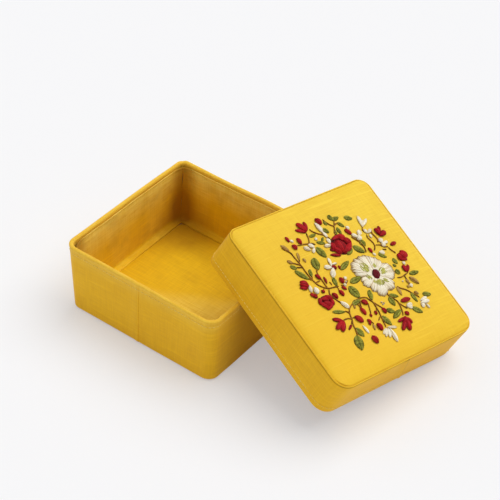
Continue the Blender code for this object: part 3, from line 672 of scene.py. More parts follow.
def dashes(name, side, corners, inset, height, stands_for, body, cloth=None):
    """Running stitches round the box: short raised dashes with gaps between them."""
    around = 4 * side - (8 - 2 * math.pi) * sum(corners) / 4
    runs, middles = [], []
    for k in range(round(around / PITCH)):
        middle = (k + hand.uniform(-0.06, 0.06)) * PITCH
        length = PITCH * hand.uniform(0.66, 0.8)
        tilt = hand.uniform(-0.12, 0.12) * MM
        run = []
        for t in (-0.5, -0.3, 0.0, 0.3, 0.5):
            where, out = round_the_box(side, corners, (middle + t * length) % around)
            rise, radius = (0.16 * MM, 0.25 * MM) if abs(t) < 0.4 else (-0.12 * MM, 0.15 * MM)
            where = where + out * (rise - inset)
            run.append((Vector((where.x, where.y, height + tilt * 2 * t)), radius))
            middles.append((run[-1][0], Vector((out.x, out.y, 0.0)), rise))
        runs.append(run)
    made = threads(name, runs)
    if cloth:
        lay_on(made, cloth, middles)
    settle(made, body, pale_thread, [stands_for], 180.0)


# The lid, made upright about its own middle, with its open rim at height 0

def lid_side():
    """One strip of silk: inside the rim, folded round it, up the skirt and over the shoulder."""
    line = mm((2.45, 10.0))
    line += ladder(line[-1], 2.45, 1.0, 3)
    line += arc(1.45 * MM, 1.0 * MM, 1.0 * MM, 180.0, 270.0, 3)[1:]
    line += arc(1.0 * MM, 1.0 * MM, 1.0 * MM, 270.0, 360.0, 3)
    line += ladder(line[-1], 0.0, 35.4, 7)
    line += arc(1.2 * MM, 35.4 * MM, 1.2 * MM, 0.0, 90.0, 3)[1:] + [(9 * MM, SHOULDER)]
    made = strip("silk_lid_side", LID, LID_CORNERS, line, LID_JOIN, overlap=JOIN_LAP, lift=0.45 * MM)
    reach = 26 * MM
    for vertex in made.data.vertices:
        if vertex.co.y < -LID / 2 + 10 * MM:
            near = max(0.0, 1.0 - abs(vertex.co.x - LID_JOIN) / reach)
            vertex.co.x -= JOIN_SLANT * (vertex.co.z - JOIN_MIDDLE) * near
    turn_out(made, lambda c, n: outwards(c, n) if 12 * MM < c.z < 33 * MM else 0.0)
    ripple(made, 30 * MM, 0.45 * MM)
    thicken(made, SILK)
    settle(made, "lid", lid_silk, ["lid_side_cloth"])


def lid_inside():
    """The lining of the walls, and the panel under the top."""
    line = mm((2.45, 10.3))
    made = strip("silk_lid_wall_lining", LID, LID_CORNERS, line + ladder(line[-1], 2.45, 33.25, 6))
    turn_out(made, lambda c, n: -outwards(c, n))
    thicken(made, LINING)
    settle(made, "lid", lid_lining, ["lid_wall_lining"])
    wall, corner, under = 2.05 * MM, 11.3 * MM, 33.55 * MM
    made = lay_flat("silk_lid_top_lining", LID - 2 * wall)
    bpy.ops.mesh.bevel(offset=corner, segments=8, affect="VERTICES")
    bpy.ops.transform.translate(value=(0.0, 0.0, under))
    bpy.ops.mesh.extrude_region_move(TRANSFORM_OT_translate={"value": (0.0, 0.0, LINING)})
    leave()
    settle(made, "lid", lid_lining, ["lid_top_lining"])


def lid_piping():
    """The thin covered cord round the top."""
    line = arc(0.65 * MM, SHOULDER + PIPING, PIPING, 0.0, 360.0, 12)
    made = strip("silk_lid_piping", LID, LID_CORNERS, line, steps=30)
    ripple(made, 9 * MM, 0.14 * MM)
    settle(made, "lid", top_silk, ["lid_piping_cloth", "lid_piping_cord"], 180.0)


def crown(x, y):
    """How far the padded top rises over its edge: a quick roll and then a slow swell."""
    half = LID / 2 - TOP_INSET
    swell = CROWN * max(0.0, 1.0 - abs(x / half) ** 6) * max(0.0, 1.0 - abs(y / half) ** 6)
    return swell + ROLL * (1.0 - math.exp(-max(0.0, half - max(abs(x), abs(y))) / (1.7 * MM)))


def lid_top():
    """The crowned silk over its padding, tucked down inside the piping."""
    bpy.ops.object.select_all(action="DESELECT")
    bpy.ops.mesh.primitive_grid_add(x_subdivisions=96, y_subdivisions=96, size=2.0)
    made = bpy.context.object
    made.name = made.data.name = "silk_lid_top"
    half = LID / 2 - TOP_INSET
    for vertex in made.data.vertices:
        x, y = (math.copysign(1.0 - (1.0 - abs(v)) ** 1.4, v) for v in vertex.co.xy)
        ring = max(abs(x), abs(y))
        if ring:
            corner = LID_CORNERS[(0 if y < 0 else 1) if x > 0 else (3 if y < 0 else 2)] - TOP_INSET
            flat = 1.0 - corner / half
            over_x, over_y = abs(x) / ring - flat, abs(y) / ring - flat
            if over_x > 0 and over_y > 0:
                share = 1.0 + ring ** 2 * (min(1.0, (1.0 - flat) / math.hypot(over_x, over_y)) - 1.0)
                x = math.copysign((flat + over_x * share) * ring, x)
                y = math.copysign((flat + over_y * share) * ring, y)
        rise = crown(x * half, y * half) if ring < 0.999 else 0.0
        vertex.co = (x * half, y * half, TOP_EDGE + rise)
    pick(made)
    bpy.ops.object.mode_set(mode="EDIT")
    bpy.ops.mesh.select_all(action="DESELECT")
    bpy.ops.mesh.select_mode(type="EDGE")
    bpy.ops.mesh.select_non_manifold()
    bpy.ops.mesh.extrude_region_move(TRANSFORM_OT_translate={"value": (0.0, 0.0, -0.6 * MM)})
    bpy.ops.mesh.select_mode(type="VERT")
    leave()
    turn_out(made, lambda c, n: n.z)
    thicken(made, SILK)
    settle(made, "lid", top_silk, ["lid_top_cloth"])


base_boards()
base_cloth = base_outside()
base_underside()
for side, (facing, degrees) in enumerate((("front", 0), ("right", 90), ("back", 180), ("left", 270))):
    lining_wall("silk_lining_" + facing, degrees, side + 3)
base_floor()
dashes("base_running_stitches", BASE, BASE_CORNERS, 0.5 * MM, 58 * MM, "base_rim_stitches", "base",
       base_cloth)
lid_side()
lid_inside()
lid_piping()
lid_top()
dashes("lid_running_stitches", LID, LID_CORNERS, 0.0, 6 * MM, "lid_rim_stitches", "lid")


# Embroidery: every strand is a run of (place on the top, height over it, radius)

def at(x, y):
    """A place on the lid's top, in thousandths of its width from the middle of the spray."""
    return Vector((x / 1000 + 0.005, y / 1000 + 0.01)) * LID


def ends(motif):
    return at(*motif[:2]), at(*motif[2:4])


def towards(degrees, reach):
    return Vector((math.cos(math.radians(degrees)), math.sin(math.radians(degrees)))) * reach


def sideways(along):
    return Vector((-along.y, along.x)).normalized()


def satin(start, end, width, rise, raised=0.0, widest=0.5, point=0.6, thread=THREAD):
    """Strands laid side by side over a padded shape, a few of them sunk between the others."""
    steps = 7
    along = end - start
    side = sideways(along) * width / 2
    count = max(3, round(width / (1.45 * thread)))
    power = math.log(0.5) / math.log(widest)
    strands = []
    for k in range(count):
        share = ((2 * k + 1) / count - 1.0) * (1.0 - 0.8 * thread / width)
        wander = hand.uniform(-0.04, 0.04)
        trim = 0.05 * abs(share) + hand.uniform(0.0, 0.03)
        sunk = hand.choice((0.0, 0.0, 0.0, 0.16)) * MM
        strand = []
        for step in range(steps + 1):
            t = trim + (1.0 - 2 * trim) * step / steps
            swell = math.sin(math.pi * t ** power) ** point
            bulge = math.sqrt(max(0.0, 1.0 - share ** 2)) * math.sin(math.pi * t) ** 0.5
            lift = (rise + 0.6 * raised) * bulge
            strand.append((start + along * t + side * (share + wander) * swell,
                           max(lift - sunk, 0.0) + 0.4 * raised + 0.08 * MM,
                           thread * (0.75 if step in (0, steps) else 1.0)))
        strands.append(strand)
    return strands


def fishbone(start, end, width, rise=1.0 * MM):
    """A leaf: slanting strands from its sunk vein out to its edge, on both sides."""
    along = end - start
    side = sideways(along) * width / 2
    count = max(6, round(along.length / (0.5 * MM)))
    strands = []
    for hand_side in (1, -1):
        for k in range(count):
            root = 0.88 * (k + 0.1) / count
            tip = min(0.99, root + 0.14 + hand.uniform(-0.015, 0.015))
            reach = math.sin(math.pi * tip ** 0.9) ** 0.7 * hand_side
            strand = []
            for t in (0.0, 0.25, 0.5, 0.75, 1.0):
                lift = rise * (0.3 + 2.35 * t - 2.6 * t ** 2) * (1.15 if hand_side > 0 else 0.8) + 0.08 * MM
                strand.append((start + along * (root + (tip - root) * t) + side * reach * t, lift,
                               FINE_THREAD * (1.0 if t < 1 else 0.8)))
            strands.append(strand)
    return strands


def route(places):
    """A smooth line through the places, as points about half a millimetre apart."""
    points = []
    for index in range(len(places) - 1):
        before, here = places[max(index - 1, 0)], places[index]
        there, after = places[index + 1], places[min(index + 2, len(places) - 1)]
        count = max(2, round((there - here).length / (0.5 * MM)))
        for step in range(count):
            t = step / count
            points.append(0.5 * (2 * here + (there - before) * t
                                 + (2 * before - 5 * here + 4 * there - after) * t ** 2
                                 + (3 * here - before - 3 * there + after) * t ** 3))
    return points + [places[-1]]


def stem(places):
    """Stem stitch: short strands that overlap like the turns of a rope."""
    line = route(places)
    strands = []
    for first in range(0, max(1, len(line) - 3), 3):
        part = line[first:first + 7:2]
        if len(part) < 2:
            part = line[-3:]
        strand = []
        for index, place in enumerate(part):
            t = index / (len(part) - 1)
            along = part[min(index + 1, len(part) - 1)] - part[max(index - 1, 0)]
            strand.append((place + sideways(along) * (0.5 - t) * 0.5 * MM,
                           (0.2 + 0.45 * math.sin(math.pi * t)) * MM,
                           STEM_THREAD * (0.8 if index in (0, len(part) - 1) else 1.0)))
        strands.append(strand)
    return strands


def knot(place, size):
    """A French knot: the thread wound twice round the needle."""
    turns, steps = 2.1, 14
    strand = []
    for step in range(steps + 1):
        reach = (size / 2 - THREAD) * (1.0 - 0.55 * step / steps)
        strand.append((place + towards(360 * turns * step / steps, reach),
                       (0.2 + 0.75 * step / steps) * MM, THREAD))
    return [strand]


def sew(name, strands, finish, slot, *stands_for, full=1.2 * MM):
    """Turns strands into thread on the lid's top.

    Its points keep painted light and shade, how light they are: most on top of a strand at the height called
    full, least in gaps and on its underside.
    """
    runs, middles = [], []
    for strand in strands:
        own = hand.choice((-0.3, -0.1, 0.0, 0.0, 0.08))
        run = []
        for place, lift, radius in strand:
            spot = Vector((place.x, place.y, TOP_EDGE + crown(place.x, place.y) + lift))
            run.append((spot, radius))
            middles.append((spot, lift, radius, own))
        runs.append(run)
    made = threads(name, runs)
    nearest = finder([middle[0] for middle in middles])
    # Painted light and shade for each point, from its height and from where it sits on its strand
    painted_light = made.data.attributes.new("painted_light", "FLOAT", "POINT")
    for vertex, value in zip(made.data.vertices, painted_light.data):
        middle, lift, radius, own = middles[nearest(vertex)]
        high = min(1.0, lift / full)
        top = min(1.0, max(-1.0, (vertex.co.z - middle.z) / radius))
        value.value = (0.25 + 0.75 * high * (2.0 - high)) * (0.68 + 0.32 * top) + own
    settle(made, "lid", finish, ["embroidery_" + node for node in stands_for], 180.0)


# The large flower's edge, as (direction, reach in mm) from its middle, and where its petals meet
EDGE = (
    (2, 19.8), (13, 19.7), (21, 17.3), (27, 15.8), (40, 17.1), (52, 17.6), (65, 17.3), (74, 18.8),
    (85, 19.5), (103, 20.2), (118, 21.2), (131, 21.9), (141, 21.4), (147, 20.7), (154, 19.3), (161, 17.3),
    (166, 13.9), (172, 14.7), (180, 15.8), (190, 16.4), (201, 16.2), (209, 14.4), (212, 14), (217, 16),
    (227, 16.3), (236, 16.6), (238, 18), (242, 19.2), (248, 19.5), (258, 19.1), (265, 18.2), (273, 15.6),
    (284, 17), (294, 18.2), (306, 17.8), (316, 16.8), (323, 14.2), (327, 16.5), (332, 17), (341, 18.7),
    (351, 19.6),
)
FOLDS = (26, 80, 167, 211, 274, 323)

# Its green shading, as (start x, y, end x, y, width in mm)
GREEN_PATCHES = (
    (82, -18, 58, 43, 6.4), (62, -66, 49, -21, 3.2), (101, -74, 84, -112, 8.2), (137, -52, 182, -29, 4.2),
    (140, -60, 191, -48, 2), (128, -13, 142, 12, 2.4), (127, -83, 150, -112, 2.6), (73, 12, 74, -16, 2.2),
)


def petal_reach(angle):
    """How far the large flower reaches in a direction, with small scallops along its edge."""
    angle %= 360.0
    turns = [(EDGE[-1][0] - 360, EDGE[-1][1]), *EDGE, (EDGE[0][0] + 360, EDGE[0][1])]
    for (before, near), (after, far) in zip(turns, turns[1:]):
        if before <= angle <= after:
            reach = near + (far - near) * (angle - before) / (after - before)
    angle = math.radians(angle)
    return (reach + 0.4 * math.sin(angle * 23.0) + 0.25 * math.sin(angle * 61.0)) * MM


def petal_height(angle, share):
    """How high a petal stands at a share of its reach: full in its middle and sunk along its folds."""
    away = min(abs((angle - fold + 180.0) % 360.0 - 180.0) for fold in FOLDS)
    across = math.sqrt(1.0 - (1.0 - min(1.0, away / 17.0)) ** 2)
    return (0.2 + 1.4 * math.sin(math.pi * min(1.0, share) ** 1.3) ** 0.5 * (0.3 + 0.7 * across)) * MM


def large_flower():
    """The large flower: long and short strands out to its scalloped edge, and its dark heart."""
    place = at(107, -48)
    strands, shade = [], []
    count, steps = 216, 6
    for k in range(count):
        angle = 360.0 * k / count + hand.uniform(-0.5, 0.5)
        reach = petal_reach(angle) + hand.uniform(-0.35, 0.2) * MM
        begin = (3.4 if k % 2 else hand.uniform(7.0, 9.5)) * MM
        sunk = hand.choice((0.0, 0.0, 0.0, 0.3)) * MM
        strand = []
        for step in range(steps + 1):
            out = begin + (reach - begin) * step / steps
            lift = petal_height(angle, out / reach) - sunk * (step > 1)
            strand.append((place + towards(angle, out), lift, (0.3 if step < steps else 0.24) * MM))
        strands.append(strand)
    edge = []
    for k in range(count + 1):
        angle = 360.0 * (k % count) / count
        edge.append((place + towards(angle, petal_reach(angle) + 0.1 * MM), 0.14 * MM, 0.15 * MM))
    for patch in GREEN_PATCHES:
        for strand in satin(*ends(patch), 1.25 * patch[4] * MM, 0.1 * MM, 0.0, 0.45, 0.5):
            fresh = []
            for spot, lift, radius in strand:
                way = spot - place
                angle = math.degrees(math.atan2(way.y, way.x))
                share = way.length / petal_reach(angle)
                fresh.append((spot, petal_height(angle, share) + 0.16 * MM + lift, radius))
            if hand.random() < 0.84:
                shade.append(fresh[hand.randrange(3):8 - hand.randrange(4)])
    lines = [edge]
    for fold in FOLDS:
        line = []
        for out, bend in ((5.0, -1.5), (8.0, 1.0), (11.0, 0.5), (13.8, -0.5)):
            lift = petal_height(fold + bend, out / 16.0) + 0.22 * MM
            line.append((place + towards(fold + bend, out * MM), lift, 0.17 * MM))
        lines.append(line)
    sew("thread_large_flower", strands, cream, "cream_thread", "large_flower", full=1.5 * MM)
    sew("thread_flower_shading", shade, flower_green, "leaf_thread", full=1.8 * MM)
    sew("thread_petal_lines", lines, tan_bud, "stem_thread", full=0.6 * MM)
    heart = satin(at(128, -20), at(94, -69), 7.4 * MM, 1.5 * MM, 1.2 * MM, 0.5, 0.5, 0.46 * MM)
    heart += satin(at(116, -33), at(105, -58), 1.2 * MM, 0.5 * MM, 3.0 * MM, thread=0.3 * MM)
    sew("thread_flower_centre", heart, maroon, "maroon_thread", "flower_centre", full=3.4 * MM)


# Motifs: each leaf is (start x, y, end x, y, width in mm), and each petal adds its padding's height and how
# far it is raised over the others, in mm. Each line of a stem is (x, y, x, y, ...) along it. What stands for
# a solid of its own starts with its name.

RED_FLOWERS = (
    ("tulip_upper", (-100, 309, -153, 345, 3.7, 1.3, 0), (-87, 317, -70, 371, 3.7, 1.3, 0),
     (-95, 311, -119, 378, 5.7, 2, 0.4)),
    ("tulip_upper_right", (303, 139, 302, 187, 5.5, 2, 0), (310, 150, 335, 191, 3.6, 1.3, 0),
     (294, 137, 354, 148, 5.5, 2, 0.4)),
    ("tulip_right", (296, -99, 306, -58, 4.9, 1.8, 0), (303, -103, 339, -65, 3.5, 1.3, 0)),
    ("tulip_lower_left", (-252, -198, -307, -163, 4.3, 1.5, 0), (-261, -192, -324, -221, 4.8, 1.7, 0.3),
     (-251, -193, -301, -246, 5, 1.8, 0.2)),
    ("tulip_lower_right", (106, -316, 41, -320, 3.4, 1.2, 0), (95, -311, 120, -357, 4.6, 1.6, 0),
     (93, -322, 34, -371, 4.6, 1.7, 0.3), (96, -323, 77, -388, 5.3, 1.9, 0.3),
     (100, -309, 72, -351, 5.6, 2, 0.7)),
    ("rose_left", (-315, -69, -289, -36, 3.8, 1.4, 0), (-301, -47, -242, -46, 4, 1.4, 0),
     (-258, -36, -227, -74, 5.2, 1.9, 0), (-231, -63, -245, -101, 4.3, 1.5, 0),
     (-237, -92, -297, -108, 3.8, 1.4, 0), (-313, -56, -277, -110, 4.6, 1.7, 0.2),
     (-289, -52, -250, -65, 4, 1.4, 0.7), (-298, -67, -251, -96, 4.7, 1.7, 0.9)),
    ("rose_edge", (-335, 83, -298, 57, 4.4, 1.6, 0), (-356, 55, -318, 33, 3.7, 1.3, 0),
     (-346, 71, -301, 43, 5.2, 1.9, 0.6)),
    ("rose_right", (323, 10, 321, -34, 5.2, 1.9, 0), (354, 22, 368, -29, 7.4, 2, 0),
     (309, -23, 361, -38, 3.3, 1.2, 0.2), (330, 10, 357, -32, 7.1, 2, 0.7)),
    ("large_rose", (9, 219, 72, 225, 4.5, 1.6, 0), (51, 230, 91, 195, 6.9, 2, 0),
     (86, 206, 96, 154, 6.7, 2, 0), (110, 171, 43, 128, 5.3, 1.9, 0), (-3, 207, -21, 162, 5.4, 1.9, 0),
     (-10, 158, -41, 175, 3.4, 0.8, 0), (-18, 174, 11, 130, 6.6, 2, 0.2),
     (67, 148, 18, 129, 4.7, 1.7, 0.2), (31, 209, 24, 127, 12.8, 2.3, 0.5)),
)

WHITE_FLOWERS = (
    ("white_flower_rose", (-16, 201, -11, 236, 3.9, 1.4, 0), (-15, 193, -60, 205, 3.9, 1.4, 0)),
    ("white_flower_upper_left", (-151, 210, -178, 242, 4.5, 1.6, 0), (-118, 216, -143, 245, 4.5, 1.6, 0),
     (-122, 217, -148, 194, 3.5, 1.3, 0)),
    ("white_flower_top", (236, 215, 258, 287, 3.8, 1.4, 0), (233, 217, 298, 254, 3.4, 1.2, 0),
     (233, 216, 266, 255, 3.2, 1.1, 0.2)),
    ("white_flower_inner", (168, 175, 140, 204, 4.6, 1.6, 0), (175, 178, 206, 210, 4.8, 1.7, 0),
     (171, 187, 167, 156, 5.6, 2, 0.2)),
    ("white_flower_upper_right", (281, 92, 286, 127, 4.8, 1.7, 0), (279, 91, 322, 93, 3.4, 1.2, 0),
     (281, 101, 280, 72, 4.8, 1.7, 0.2)),
    ("white_flower_left", (-102, 85, -86, 140, 3.3, 1.2, 0), (-98, 98, -57, 95, 2.4, 0.9, 0),
     (-103, 81, -146, 101, 4.9, 1.8, 0), (-98, 82, -140, 32, 5.3, 1.9, 0.2)),
    ("white_flower_bottom", (-41, -320, 16, -341, 2.8, 1, 0), (-48, -321, -87, -345, 3, 1.1, 0),
     (-44, -323, -83, -363, 2.8, 1, 0), (-39, -325, -62, -375, 3.6, 1.3, 0.1),
     (-33, -327, -35, -411, 4.4, 1.6, 0.2)),
    ("white_flower_right", (252, -269, 309, -264, 3.1, 1.1, 0), (245, -280, 310, -286, 4.2, 1.5, 0),
     (245, -285, 254, -309, 4.8, 1.7, 0.1), (274, -295, 280, -325, 2.8, 1, 0)),
)

WHITE_PETALS = (
    (-16, 343, -9, 275, 4.7, 1.7, 0), (-13, 283, -4, 239, 3.5, 1.2, 0),
    (-225, 306, -210, 288, 2.6, 0.9, 0), (-71, 248, -80, 264, 2.9, 1, 0),
    (239, 176, 233, 204, 3.3, 1.2, 0), (240, 175, 279, 191, 3.1, 1.1, 0), (222, 57, 256, 42, 4.3, 1.5, 0),
    (255, -170, 276, -180, 3.7, 1.3, 0), (157, -259, 195, -267, 3.9, 1.4, 0),
    (153, -263, 184, -285, 4, 1.4, 0), (-197, -96, -170, -148, 4.6, 1.7, 0),
    (-167, -257, -162, -310, 2.7, 1, 0), (-298, 49, -311, 6, 3.7, 1.3, 0),
    (-278, 26, -285, -14, 5.6, 2, 0), (317, -41, 325, -59, 3.1, 1.1, 0), (-76, 14, -72, -5, 3.2, 1.1, 0),
    (-104, -18, -100, -36, 2.9, 1.1, 0), (-215, 259, -218, 247, 2, 0.8, 0),
    (143, 258, 153, 236, 3.4, 1.2, 0), (185, 67, 192, 48, 2.7, 1, 0), (246, 169, 244, 144, 3.1, 1.1, 0),
)

RED_BUDS = (
    (6, 363, 17, 317, 6.3, 2, 0), (-234, 332, -234, 296, 3.5, 1.3, 0), (-177, 302, -176, 260, 4.7, 1.7, 0),
    (-231, 277, -220, 244, 5.3, 1.9, 0), (123, 245, 144, 204, 4.5, 1.6, 0),
    (-61, 149, -3, 122, 3.5, 1.2, 0), (-107, 87, -78, 70, 4.6, 1.7, 0), (-59, 80, -63, 58, 2.5, 0.9, 0),
    (-224, 85, -211, 50, 4.2, 1.5, 0), (-185, 57, -195, 16, 2.5, 0.9, 0),
    (-101, 19, -105, -19, 4.9, 1.8, 0), (-251, -4, -242, -22, 4, 1.4, 0),
    (-326, 3, -310, -17, 4.2, 1.5, 0), (-315, -8, -300, -31, 4.6, 1.7, 0),
    (-155, -40, -151, -80, 4.6, 1.7, 0), (-129, -30, -109, -54, 3.3, 1.2, 0),
    (-205, -40, -194, -79, 5.2, 1.9, 0), (-175, -197, -148, -245, 6.6, 2, 0),
    (-258, -249, -222, -229, 2.3, 0.8, 0), (-78, -138, -53, -169, 5.5, 2, 0),
    (-111, -169, -106, -217, 4.7, 1.7, 0), (-79, -220, -85, -239, 2.6, 0.9, 0),
    (-42, -216, -50, -240, 3.3, 1.2, 0), (10, -218, 11, -254, 4.4, 1.6, 0),
    (-120, -240, -107, -265, 3.7, 1.3, 0), (-117, -255, -125, -274, 2.9, 1, 0),
    (-81, -279, -77, -325, 5.7, 2, 0), (-157, -326, -150, -375, 6.5, 2, 0),
    (139, -230, 207, -235, 5, 1.8, 0), (120, -287, 132, -312, 4.4, 1.6, 0),
    (322, 68, 369, 71, 4.1, 1.5, 0), (181, 103, 184, 68, 3.7, 1.3, 0),
)

BROWN_BUDS = (
    (-293, 300, -269, 253, 3.3, 1.2, 0), (-233, 229, -252, 187, 2.4, 0.9, 0),
    (-320, 211, -298, 184, 3.1, 1.1, 0), (291, -129, 323, -185, 4.5, 1.6, 0),
    (179, -150, 172, -203, 3.2, 1.2, 0), (256, -212, 275, -233, 2.9, 1.1, 0),
    (-104, -274, -116, -308, 2.4, 0.9, 0), (-133, -143, -141, -163, 2.2, 0.8, 0),
    (-225, 189, -224, 163, 2.4, 0.9, 0), (264, -136, 264, -163, 2.9, 1.1, 0),
    (246, -166, 248, -182, 3.4, 1.2, 0),
)

LEAVES = (
    ("upper", -109, 215, -91, 144, 6.8), ("upper_left", -166, 169, -191, 99, 7.7),
    ("left", -318, 146, -274, 74, 4.8), ("inner", -64, 54, 17, 80, 4.5),
    ("centre_left", -63, -29, 20, -25, 5.3), ("middle", -86, -44, -71, -123, 8.1),
    ("lower_left", -276, -130, -208, -156, 3.4), ("bottom", -240, -291, -265, -371, 8.4),
    ("lower", 104, -268, 31, -293, 4.6),
)

SMALL_LEAVES = (
    (-324, 178, -295, 151, 3.8), (-234, 122, -249, 80, 3.2), (-138, 34, -150, -19, 4),
    (-102, 281, -55, 282, 2.8), (-85, 240, -40, 215, 3.2), (-28, 250, -54, 230, 2.1),
    (38, 327, 48, 302, 2.5), (7, 294, 25, 260, 4.2), (94, 352, 95, 316, 4.6), (94, 318, 145, 321, 3.7),
    (173, 307, 217, 283, 4.7), (114, 294, 136, 258, 3.5), (88, 270, 89, 228, 3.5), (86, 133, 35, 112, 4.1),
    (168, 159, 173, 117, 5.9), (101, 143, 145, 86, 6.2), (276, -3, 282, -40, 4.2),
    (252, -33, 264, -51, 2.6), (246, -64, 250, -97, 4.9), (308, -116, 375, -122, 4),
    (212, 50, 249, 15, 3.4), (-139, -138, -76, -131, 4.4), (10, -104, -15, -161, 4.5),
    (100, -172, 150, -199, 3.8), (92, -182, 92, -238, 5.4), (26, -237, 67, -264, 5),
    (-25, -257, -4, -320, 5.5), (-214, -256, -200, -313, 5.9), (178, -283, 223, -330, 5.3),
    (233, -211, 235, -269, 3.6), (65, 260, 57, 231, 3.1), (296, -242, 347, -261, 4.5),
)

STEMS = (
    ("left", (-298, 281, -283, 261, -269, 239, -267, 207, -264, 179, -263, 147, -263, 116, -262, 87,
     -256, 55, -250, 32, -230, 8, -211, -7, -178, -15, -142, -20), (-194, 109, -206, 85, -208, 53,
     -209, 21, -209, -7), (-202, -11, -219, -34, -220, -53, -209, -79, -197, -103, -185, -131), (-298, 188,
     -271, 166, -263, 161), (-249, 191, -260, 176), (-293, 157, -266, 147), (-275, 80, -259, 64),
     (-250, 44, -221, 46), (-246, 85, -257, 67), (-175, 19, -171, 0), (-125, -22, -99, -29, -68, -10),
     (-154, -21, -153, -41), (-230, 0, -240, -10)),
    ("long", (-71, 319, -63, 301, -41, 279, -14, 259, 1, 234, 5, 213), (-105, 305, -111, 283, -118, 266,
     -130, 248), (-203, 262, -175, 258, -144, 252, -115, 243, -99, 229), (-172, 266, -173, 258)),
    ("bottom", (-35, -135, -53, -127, -81, -124, -113, -127, -143, -137, -174, -153, -191, -177,
     -200, -205, -214, -231, -222, -262, -233, -293), (-35, -135, -26, -155, -17, -173, -20, -199,
     -22, -222, -29, -250, -37, -281, -44, -316), (-207, -153, -194, -164, -190, -175), (-248, -193,
     -225, -192, -201, -202), (-177, -203, -191, -203), (-111, -143, -104, -175), (-83, -137, -96, -155,
     -102, -176), (-49, -167, -61, -192, -75, -222), (-14, -184, -22, -208, -35, -221), (-14, -177,
     1, -201, 12, -221), (-40, -255, -59, -272), (-103, -263, -98, -278), (-204, -210, -219, -226)),
    ("lower_right", (100, -125, 96, -152, 98, -176, 110, -197, 123, -221, 120, -245, 111, -274, 98, -301),
     (123, -232, 135, -255, 151, -278)),
    ("right", (181, -150, 197, -166, 219, -185, 233, -203, 240, -215, 253, -233, 267, -252)),
    ("side", (303, -105, 272, -111, 244, -113, 221, -108), (269, -114, 267, -141, 267, -161, 246, -176)),
    ("top", (44, 341, 51, 318, 63, 299, 78, 281, 66, 263, 51, 240), (102, 311, 90, 293, 78, 281), (86, 286,
     110, 293, 130, 288)),
    ("upper", (277, 190, 266, 168, 270, 146, 272, 125, 261, 109), (228, 172, 222, 151, 228, 132, 231, 114,
     225, 93, 206, 76), (238, 99, 262, 92, 277, 74, 300, 67), (299, 60, 306, 40, 319, 18), (258, 63,
     281, 55), (131, 191, 146, 169, 159, 144, 161, 111, 152, 84), (237, 218, 225, 201, 241, 180)),
)

BEADS = (
    (-76, 2), (-84, -15), (-221, 300), (150, 247), (29, -191), (30, -204), (39, -200), (236, -137),
    (262, -140),
)


def petals(lobes, widest=0.58, point=0.5, narrow=0.92, ground=False):
    """Plump petals, each satin stitch over its own padding, on a flat ground if there is one."""
    strands = []
    if ground:
        middles = [sum(ends(lobe), Vector((0.0, 0.0))) / 2 for lobe in lobes]
        middle = sum(middles, Vector((0.0, 0.0))) / len(middles)
        reach = Vector((0.88 * max((spot - middle).length for spot in middles) + 0.8 * MM, 0.0))
        strands += satin(middle - reach, middle + reach, 2 * reach.x, 0.35 * MM)
    for lobe in lobes:
        width, rise, raised = (size * MM for size in lobe[4:])
        strands += satin(*ends(lobe), narrow * width, 1.1 * rise, raised, widest, point)
    return strands


for name, *lines in STEMS:
    strands = []
    for line in lines:
        strands += stem([at(x, y) for x, y in zip(line[::2], line[1::2])])
    sew("thread_stem_" + name, strands, stem_brown, "stem_thread", "stem_" + name)
for name, *leaf in LEAVES:
    sew("thread_leaf_" + name, fishbone(*ends(leaf), leaf[4] * MM), leaf_green, "leaf_thread", "leaf_" + name)
strands = []
for leaf in SMALL_LEAVES:
    strands += fishbone(*ends(leaf), leaf[4] * MM, 0.8 * MM)
sew("thread_small_leaves", strands, leaf_green, "leaf_thread", full=1.0 * MM)
for name, *lobes in RED_FLOWERS:
    strands = petals(lobes, ground="rose" in name)
    sew("thread_" + name, strands, crimson, "crimson_thread", name, full=2.1 * MM)
for name, *lobes in WHITE_FLOWERS:
    strands = petals(lobes, 0.62, 0.68, 0.9)
    sew("thread_" + name, strands, cream, "cream_thread", name, full=1.6 * MM)
strands = petals(WHITE_PETALS, 0.6, 0.62)
for place in BEADS:
    strands += knot(at(*place), 1.9 * MM)
sew("thread_white_petals", strands, cream, "cream_thread", full=1.5 * MM)
sew("thread_red_buds", petals(RED_BUDS, 0.5, 0.6, 0.88), bud_red, "crimson_thread", full=1.8 * MM)
sew("thread_brown_buds", petals(BROWN_BUDS, 0.45, 0.7), tan_bud, "stem_thread", full=1.0 * MM)
large_flower()


# The other boards and the padding under the cloth keep their own shapes

for name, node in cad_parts.items():
    if not node.hide_render:
        for slot in node.material_slots:
            slot.material = cotton if "cord" in name or "wadding" in name else grey


# Stage, lights and camera

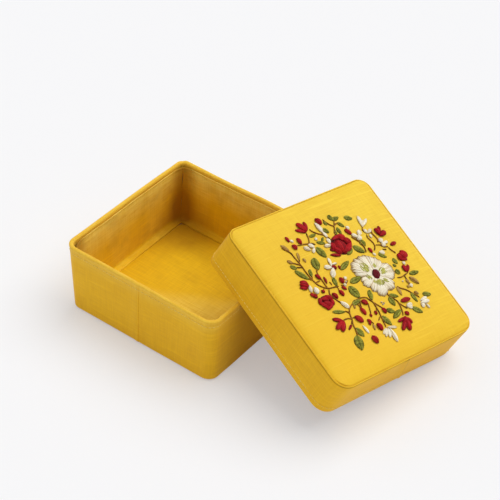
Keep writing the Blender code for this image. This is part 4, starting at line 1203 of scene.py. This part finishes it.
def stage():
    """A pale seamless floor that keeps the box's shadow, in soft light from above, behind and right."""
    bpy.ops.object.select_all(action="DESELECT")
    bpy.ops.mesh.primitive_plane_add(size=12.0)
    floor = bpy.context.object
    floor.name = "studio_floor"
    dye = Dye("studio_paper", Roughness=0.9, Specular_IOR_Level=0.1)
    dye.shader.inputs["Base Color"].default_value = (0.91, 0.91, 0.92, 1.0)
    own_light = 0.36
    seen = dye.add("ShaderNodeLightPath") * own_light
    glow = dye.add("ShaderNodeEmission", values={"Color": (0.96, 0.96, 0.98, 1.0), "Strength": 1.0})
    paper = dye.add("ShaderNodeMixShader", values={"Fac": seen, 2: glow})
    dye.tree.links.new(dye.shader.outputs[0], paper.socket.node.inputs[1])
    dye.tree.links.new(paper.socket, dye.tree.nodes["Material Output"].inputs["Surface"])
    floor.data.materials.append(dye.material)
    world = bpy.data.worlds.new("studio")
    world.use_nodes = True
    bpy.context.scene.world = world
    sky = world.node_tree.nodes["Background"]
    sky.inputs["Color"].default_value = (1.0, 1.0, 1.0, 1.0)
    sky.inputs["Strength"].default_value = 0.44
    for name, energy, angle, way in (("softbox", 1.8, 55.0, (0.25, 0.5, 1.0)),
                                     ("fill", 0.4, 90.0, (-0.8, -0.6, 0.7))):
        sun = bpy.data.lights.new(name, "SUN")
        sun.energy, sun.angle = energy, math.radians(angle)
        lamp = bpy.data.objects.new(name, sun)
        lamp.rotation_mode = "QUATERNION"
        lamp.rotation_quaternion = Vector(way).to_track_quat("Z", "Y")
        bpy.context.scene.collection.objects.link(lamp)


def camera():
    """The photograph's viewing angle."""
    around, above, roll = (math.radians(d) for d in (34.258, 40.529, 3.983))
    aim, away = Vector((0.255, 77.567, 0.0)) * MM, 1745.0 * MM
    back = Vector((math.sin(around) * math.cos(above), -math.cos(around) * math.cos(above), math.sin(above)))
    right = Vector((0.0, 0.0, 1.0)).cross(back).normalized()
    up = back.cross(right)
    right, up = right * math.cos(roll) + up * math.sin(roll), up * math.cos(roll) - right * math.sin(roll)
    lens = bpy.data.cameras.new("camera")
    lens.lens, lens.sensor_width = 147.6, 36.0
    eye = bpy.data.objects.new("camera", lens)
    turn = Matrix((right, up, back)).transposed().to_4x4()
    eye.matrix_world = Matrix.Translation(aim + back * away) @ turn
    bpy.context.scene.collection.objects.link(eye)
    bpy.context.scene.camera = eye


stage()
camera()
bpy.context.scene.view_settings.view_transform = "Standard"
